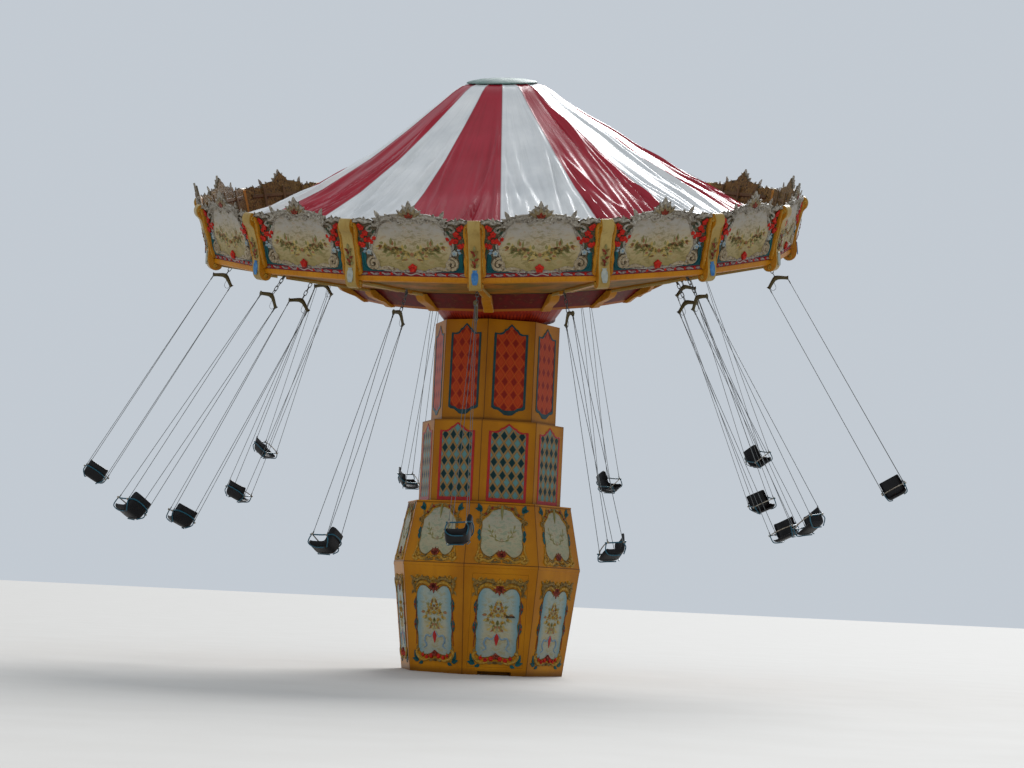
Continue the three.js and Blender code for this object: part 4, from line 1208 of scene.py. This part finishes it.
# Middles of its rolled head and foot, the thickness of its cheeks, and where its wings stand.
PILASTER_ROLLS = ((6.275, 1.86), (5.995, 0.75))
CHEEK_THICK, WING_REACH = 0.238, 6.052


def pilaster(urn_finish):
    """A scrolled upright: cream face with a rolled head and foot, ochre wings and a small urn."""
    kit = Kit()
    side = rounded(PILASTER_SIDE, 2)
    middle = (6.12, 1.3)
    shrunk = [(x + (middle[0] - x) * 0.1, y + (middle[1] - y) * 0.016) for x, y in side]
    kit.put(standing("face", side, 0.226, 0.007), CREAM)
    kit.put(standing("cheeks", shrunk, CHEEK_THICK, 0.004), OCHRE)
    for reach, height in PILASTER_ROLLS:
        for s in (1, -1):
            eye = bloom("scroll_eye", 0, 0, 0, 0.05, 6)
            place = moved(reach, 0, height) @ turn(-90 * s, "X") @ moved(0, 0, CHEEK_THICK / 2)
            kit.put(set_down(eye, place), GOLD)
    # Wings on the wall behind the face.
    wing_half = cm((0, 1), (17, 1), (20, 8), (19, 20), (20.5, 31), (18.2, 43), (20, 55),
        (17.8, 67), (20, 79), (19.7, 91), (17, 99), (10, 103), (0, 103))
    wing = sawn("wing", [rounded(both_sides(wing_half), 2)], 0.068, -0.068, 0.008)
    wall = facing(90, WING_REACH, RIM_FOOT, RIM_LEAN)
    kit.put(set_down(wing, wall), OCHRE)
    for s in (1, -1):
        line = [(s * 0.16 - 0.02 * s * abs(sin(i * 0.8)), 0.08 + 0.1 * i, 0.0) for i in range(10)]
        kit.put(set_down(swept("wing_trim", smooth_line(line, 2), 0.012, 0), wall), GOLD)
    # The urn and the garland that climbs from it.
    urn = cm((0, 0), (3.5, 0), (5, 4), (6.5, 12), (6, 20), (3.5, 24), (5, 27), (0, 27))
    vase = sawn("urn", [both_sides(urn)], 0.016, 0.0, 0.004)
    kit.put(set_down(vase, facing(90, 6.149, 0.78, -5.0)), urn_finish)
    spray = facing(90, 6.129, 1.08, 13.0)
    for i, (y, angle) in enumerate(((0, 0), (0.02, 50), (0.02, -50), (0.08, 30), (0.08, -30),
            (0.15, 62), (0.15, -62), (0.2, 20), (0.2, -20), (0.28, 50), (0.28, -50), (0.34, 0))):
        one = leaf("garland_leaf", 0, y, 0.1, 0.05, angle, 0.008)
        kit.put(set_down(one, spray), (RUSSET, BRONZE, OLIVE)[i % 3])
    for y in (0.1, 0.26):
        kit.put(set_down(bloom("garland_bloom", 0, y, 0.004, 0.026), spray), RUSSET)
    return kit.made("pilaster_kit")


def soffit_height(reach):
    slope = (SOFFIT_HEIGHT - BAND_HEIGHT) / (SOFFIT_REACH - BAND_REACH)
    return BAND_HEIGHT + slope * (reach - BAND_REACH)


# Where a beam starts and ends, and how far it stops before its hook and starts again after it.
BEAM_START, BEAM_END, BEFORE_HOOK, AFTER_HOOK = 3.45, 5.85, 0.09, 0.2


def rib_and_beam(hook):
    """A bracket on the band and the soffit beam that runs from it, broken at the hook."""
    kit = Kit()
    side = [(2.835, -0.104), (2.93, -0.104), (2.99, -0.06), (3.08, 0.008), (3.24, 0.074),
        (3.38, 0.14), (3.44, 0.21), (3.474, 0.302), (3.34, 0.292), (2.9, -0.05)]
    kit.put(standing("rib", side, 0.196, 0.01), OCHRE)
    # Each board of a beam: how far its ends draw in, its depth under and over the soffit, its
    # thickness, its rounded edge, how far off the middle it stands, and its paint.
    boards = [("beam", 0.0, 0.06, 0.004, 0.14, 0.006, 0.0, OCHRE)]
    # The cream strips on both sides of each beam are painted highlight, for the lit faces of a
    # beam.
    boards += [("beam_lit_edge", 0.01, 0.066, -0.02, 0.022, 0.004, off, CREAM)
        for off in (-0.067, 0.067)]
    for low, high in ((BEAM_START, hook - BEFORE_HOOK), (hook + AFTER_HOOK, BEAM_END)):
        for name, inset, under, over, thick, edge, middle, finish in boards:
            line = [(low + inset, soffit_height(low)), (high - inset, soffit_height(high))]
            outline = [(x, z - under) for x, z in line] + [(x, z + over) for x, z in line[::-1]]
            kit.put(standing(name, outline, thick, edge, middle), finish)
    return kit.made("rib_and_beam_kit", 30)


for make, name, slot, kinds in ((pilaster, "pilaster", "cream_paint", (URN_BLUE, URN_GREY)),
        (rib_and_beam, "rib_and_beam", "amber_paint", [hook[0] for hook in HOOKS])):
    for first, kind in enumerate(kinds):
        bays = range(first, BAYS, 2)
        repeated(make(kind), name, [CROWN @ turn(ARM_AZIMUTH + BAY * i - 90, "Z") for i in bays],
            "crown", (), [i + 1 for i in bays])

# Swings

LINK, ROPE = 0.481, 4.943
CHAIN_TOP, LINK_STEP = -0.052, 0.094
# How far from the middle of the swing the yoke's eyes are, and the seat's, sideways and forward.
YOKE_EYE, SEAT_EYE, EYE_FORWARD = 0.214, 0.24, 0.15
# How far the crown's high side draws the flung swings towards it.
HIGH_SIDE_PULL = 0.76
# Side view of the seat from its front lip to the top of its back.
SEAT_LINE = [(0.225, -0.13), (0.2, -0.175), (0.06, -0.185), (-0.08, -0.18), (-0.165, -0.15),
    (-0.2, -0.07), (-0.22, 0.06), (-0.235, 0.2)]


def swing_place(k):
    """Frame of a flung swing: hook at the origin, x away from the axis, z up the ropes."""
    reach, height, fling = HOOKS[k % 2]
    azimuth = ARM_AZIMUTH + BAY * k
    out = outward(azimuth)
    hook = CROWN @ (out * reach + Vector((0, 0, height)))
    upright = CROWN.to_3x3()
    up = upright.col[2]
    heading = upright @ out
    heading.z = 0
    heading.normalize()
    heading -= HIGH_SIDE_PULL * Vector((up.x, up.y, 0))
    heading.normalize()
    a = radians(fling)
    down = heading * sin(a) - Vector((0, 0, cos(a)))
    flung = (-up).rotation_difference(down).to_matrix().to_4x4()
    return moved(*hook) @ flung @ upright.to_4x4() @ turn(azimuth - 90, "Z")


def oval_link(name, top, length, width, bar, turned, x=0.0):
    points = []
    for i in range(16):
        a = 2 * pi * i / 16
        across = cos(a) * width / 2
        z = sin(a) * width / 2 + copysign((length - width) / 2, sin(a))
        points.append((x + (0 if turned else across), across if turned else 0,
            top - length / 2 + z))
    return swept(name, points, bar, 1, True)


def bucket():
    """The moulded seat: a strip drawn from its front lip up to its back, with raised sides."""
    half = 0.15
    clear()
    bpy.ops.mesh.primitive_grid_add(x_subdivisions=3, y_subdivisions=1, size=2 * half,
        location=(0, 0, 0))
    seat = bpy.context.object
    work_on(seat)
    (y0, z0), (y1, z1) = SEAT_LINE[:2]
    choose(seat, lambda at: at.y > 0)
    bpy.ops.transform.translate(value=(0, y0 - half, z0))
    choose(seat, lambda at: at.y < 0)
    bpy.ops.transform.translate(value=(0, y1 + half, z1))
    for (ya, za), (yb, zb) in zip(SEAT_LINE[1:], SEAT_LINE[2:]):
        draw_out((0, yb - ya, zb - za))
    choose(seat, lambda at: abs(at.x) > half - 0.001)
    for widen, rise in ((1.3, 0.022), (1.1, 0.05)):
        draw_out()
        bpy.ops.transform.resize(value=(widen, 1, 1), center_override=(0, 0, 0))
        bpy.ops.transform.shrink_fatten(value=rise)
    leave()
    tidy_mesh(seat, 0.0005)
    finish_modifier(seat, "SUBSURF", levels=2, render_levels=2)
    finish_modifier(seat, "SOLIDIFY", thickness=0.012, offset=0.0)
    return seat


def hanger(kit, rope):
    """Shackle, chain, arched yoke and four ropes, drawn hanging straight down."""
    for s in (1, -1):
        cheek = standing("cheek", [(-0.016, -0.075), (0.016, -0.075), (0.018, -0.01),
            (0.012, 0.014), (-0.012, 0.014), (-0.018, -0.01)], 0.008, 0.001)
        kit.put(set_down(cheek, moved(0, s * 0.015, 0)), STEEL)
    kit.put(swept("pin", [(0, -0.026, 0), (0, 0.026, 0)], 0.011, 2), STEEL)
    kit.put(swept("saddle", [(0, -0.018, -0.066), (0, 0.018, -0.066)], 0.012, 1), STEEL)
    # Four links, each turned a quarter from the last, and a ring.
    top = CHAIN_TOP
    for i in range(4):
        kit.put(oval_link("link", top, 0.112, 0.056, 0.008, i % 2 == 1), STEEL)
        top -= LINK_STEP
    kit.put(oval_link("ring", top + 0.002, 0.078, 0.066, 0.009, False), STEEL)
    arch = whole_bar([(0, 0, -0.472), (0.05, 0, -0.484), (0.13, 0, -0.53), (0.2, 0, -0.575),
        (0.232, 0, -0.592)])
    radii = []
    for i in range(len(arch)):
        out = abs(2 * i / (len(arch) - 1) - 1)
        radii.append(0.031 + 0.02 * (1 - out) ** 2 + 0.022 * out ** 7)
    bow = swept("yoke", arch, radii, 2)
    kit.put(set_down(bow, Matrix.Diagonal((1, 0.7, 1, 1))), YOKE_OLIVE)
    loop = smooth_line([(-0.2, 0, -0.6), (-0.17, 0, -0.67), (-0.09, 0, -0.65), (-0.07, 0, -0.52)],
        3)
    kit.put(swept("safety_loop", loop, 0.004, 0), rope)
    for s in (1, -1):
        x = s * YOKE_EYE
        kit.put(oval_link("shackle", -0.572, 0.075, 0.045, 0.007, True, x), STEEL)
        for y in (EYE_FORWARD, -EYE_FORWARD):
            line = [Vector((x, y * 0.02, -0.64)), Vector((s * SEAT_EYE, y, -LINK - ROPE))]
            kit.put(swept("rope", line, 0.0058, 1), rope)
            for share in (0.0, 0.985):
                sleeve = [line[1].lerp(line[0], f) for f in (share, share + 0.015)]
                kit.put(swept("sleeve", sleeve, 0.011, 1), STEEL)


def seat_frame(kit):
    """The seat's hoop, legs, stays, knobs and lap bar. Its front is towards +y."""
    hoop = whole_bar([(0, -0.255, 0.075), (-0.17, -0.235, 0.06), (-0.235, -0.16, 0.02),
        (-0.245, 0.0, 0.0), (-0.24, 0.2, 0)])
    kit.put(swept("hoop", hoop, 0.013, 1), SEAT_TEAL)
    leg = [(0.24, 0.17, 0), (0.232, 0.2, -0.08), (0.21, 0.2, -0.165), (0.14, 0.1, -0.2),
        (0.14, -0.1, -0.2)]
    stay = [(0.238, -0.15, 0), (0.228, -0.19, -0.08), (0.14, -0.16, -0.185)]
    for s in (1, -1):
        for name, points in (("leg", leg), ("stay", stay)):
            line = smooth_line([(s * x, y, z) for x, y, z in points], 3)
            kit.put(swept(name, line, 0.011, 1), SEAT_TEAL)
        for y, size in ((EYE_FORWARD, 0.024), (-EYE_FORWARD, 0.02)):
            steps = [-0.95, -0.7, -0.3, 0.3, 0.7, 0.95]
            line = [(s * (SEAT_EYE + 0.02) + size * f, y, 0) for f in steps]
            kit.put(swept("knob", line, [size * sqrt(1 - f * f) for f in steps], 2), SILVER)
    lap = whole_bar([(0, 0.178, 0.016), (-0.16, 0.17, 0.012), (-0.24, 0.15, 0)])
    kit.put(swept("lap_bar", lap, 0.011, 1), SILVER)


def swing():
    """One swing, hung straight down from its hook."""
    kit = Kit()
    hanger(kit, rope_finish())
    hanging = len(kit.parts)
    kit.put(bucket(), plastic_finish())
    seat_frame(kit)
    for piece in kit.parts[hanging:]:
        set_down(piece, moved(0, 0, -LINK - ROPE) @ turn(180, "Z"))
    return kit.made("swing_kit")


swing_names = [f"swing_{k + 1:02d}" for k in range(BAYS)]
made = repeated(swing(), "chair_swing", [swing_place(k) for k in range(BAYS)], swing_names)
for piece, name in zip(made, swing_names):
    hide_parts(name)


# Floor, light and camera

SKY, SKY_STRENGTH = (0.80, 0.87, 0.95, 1), 0.68
# Each sun's strength, spread in degrees and direction.
SUNS = {"sun_back": (3.0, 30, (-0.24, -0.78, -0.58)), "sun_front": (0.35, 60, (0.25, 0.9, -0.35))}
# The photograph's viewpoint: its place, how it is turned, pitched and rolled in degrees, its
# focal length and picture width in pixels, and the width of its sensor in millimetres.
VIEWPOINT, VIEW_ANGLES = (0, -49.70, 1.695), (0.41, 4.90, 2.73)
FOCAL_PIXELS, PHOTO_WIDTH, SENSOR_WIDTH = 2406.8, 1024, 36


def floor():
    """The plain pale floor."""
    clear()
    bpy.ops.mesh.primitive_plane_add(size=500, location=(0, 0, -0.002))
    piece = bpy.context.object
    piece.name = "studio_floor"
    f = Finish("floor_pale", 0.8)
    f.ground(f.noise(f.point(), 0.6, 4.0), (188, 184, 178), (198, 195, 190))
    f.give(f.shader.inputs["Base Color"], f.base)
    dress(piece, f)


def lights():
    world = bpy.data.worlds.new("studio_sky")
    bpy.context.scene.world = world
    world.use_nodes = True
    back = world.node_tree.nodes["Background"]
    back.inputs[0].default_value = SKY
    back.inputs[1].default_value = SKY_STRENGTH
    for name, (energy, angle, direction) in SUNS.items():
        data = bpy.data.lights.new(name, "SUN")
        data.energy = energy
        data.angle = radians(angle)
        lamp = added(name, data)
        lamp.rotation_mode = "QUATERNION"
        lamp.rotation_quaternion = Vector(direction).to_track_quat("-Z", "Y")


def camera():
    """A camera at the photograph's viewpoint."""
    yaw, pitch, roll = (radians(angle) for angle in VIEW_ANGLES)
    ahead = Vector((sin(yaw) * cos(pitch), cos(yaw) * cos(pitch), sin(pitch)))
    right = Vector((cos(yaw), -sin(yaw), 0))
    up = right.cross(ahead)
    side = cos(roll) * right + sin(roll) * up
    top = -sin(roll) * right + cos(roll) * up
    data = bpy.data.cameras.new("photo_camera")
    data.sensor_width = SENSOR_WIDTH
    data.lens = SENSOR_WIDTH * FOCAL_PIXELS / PHOTO_WIDTH
    data.clip_end = 500
    piece = added("photo_camera", data)
    piece.matrix_world = basis(side, top, -ahead, Vector(VIEWPOINT))
    bpy.context.scene.camera = piece


floor()
lights()
camera()
bpy.context.scene.view_settings.view_transform = "Standard"
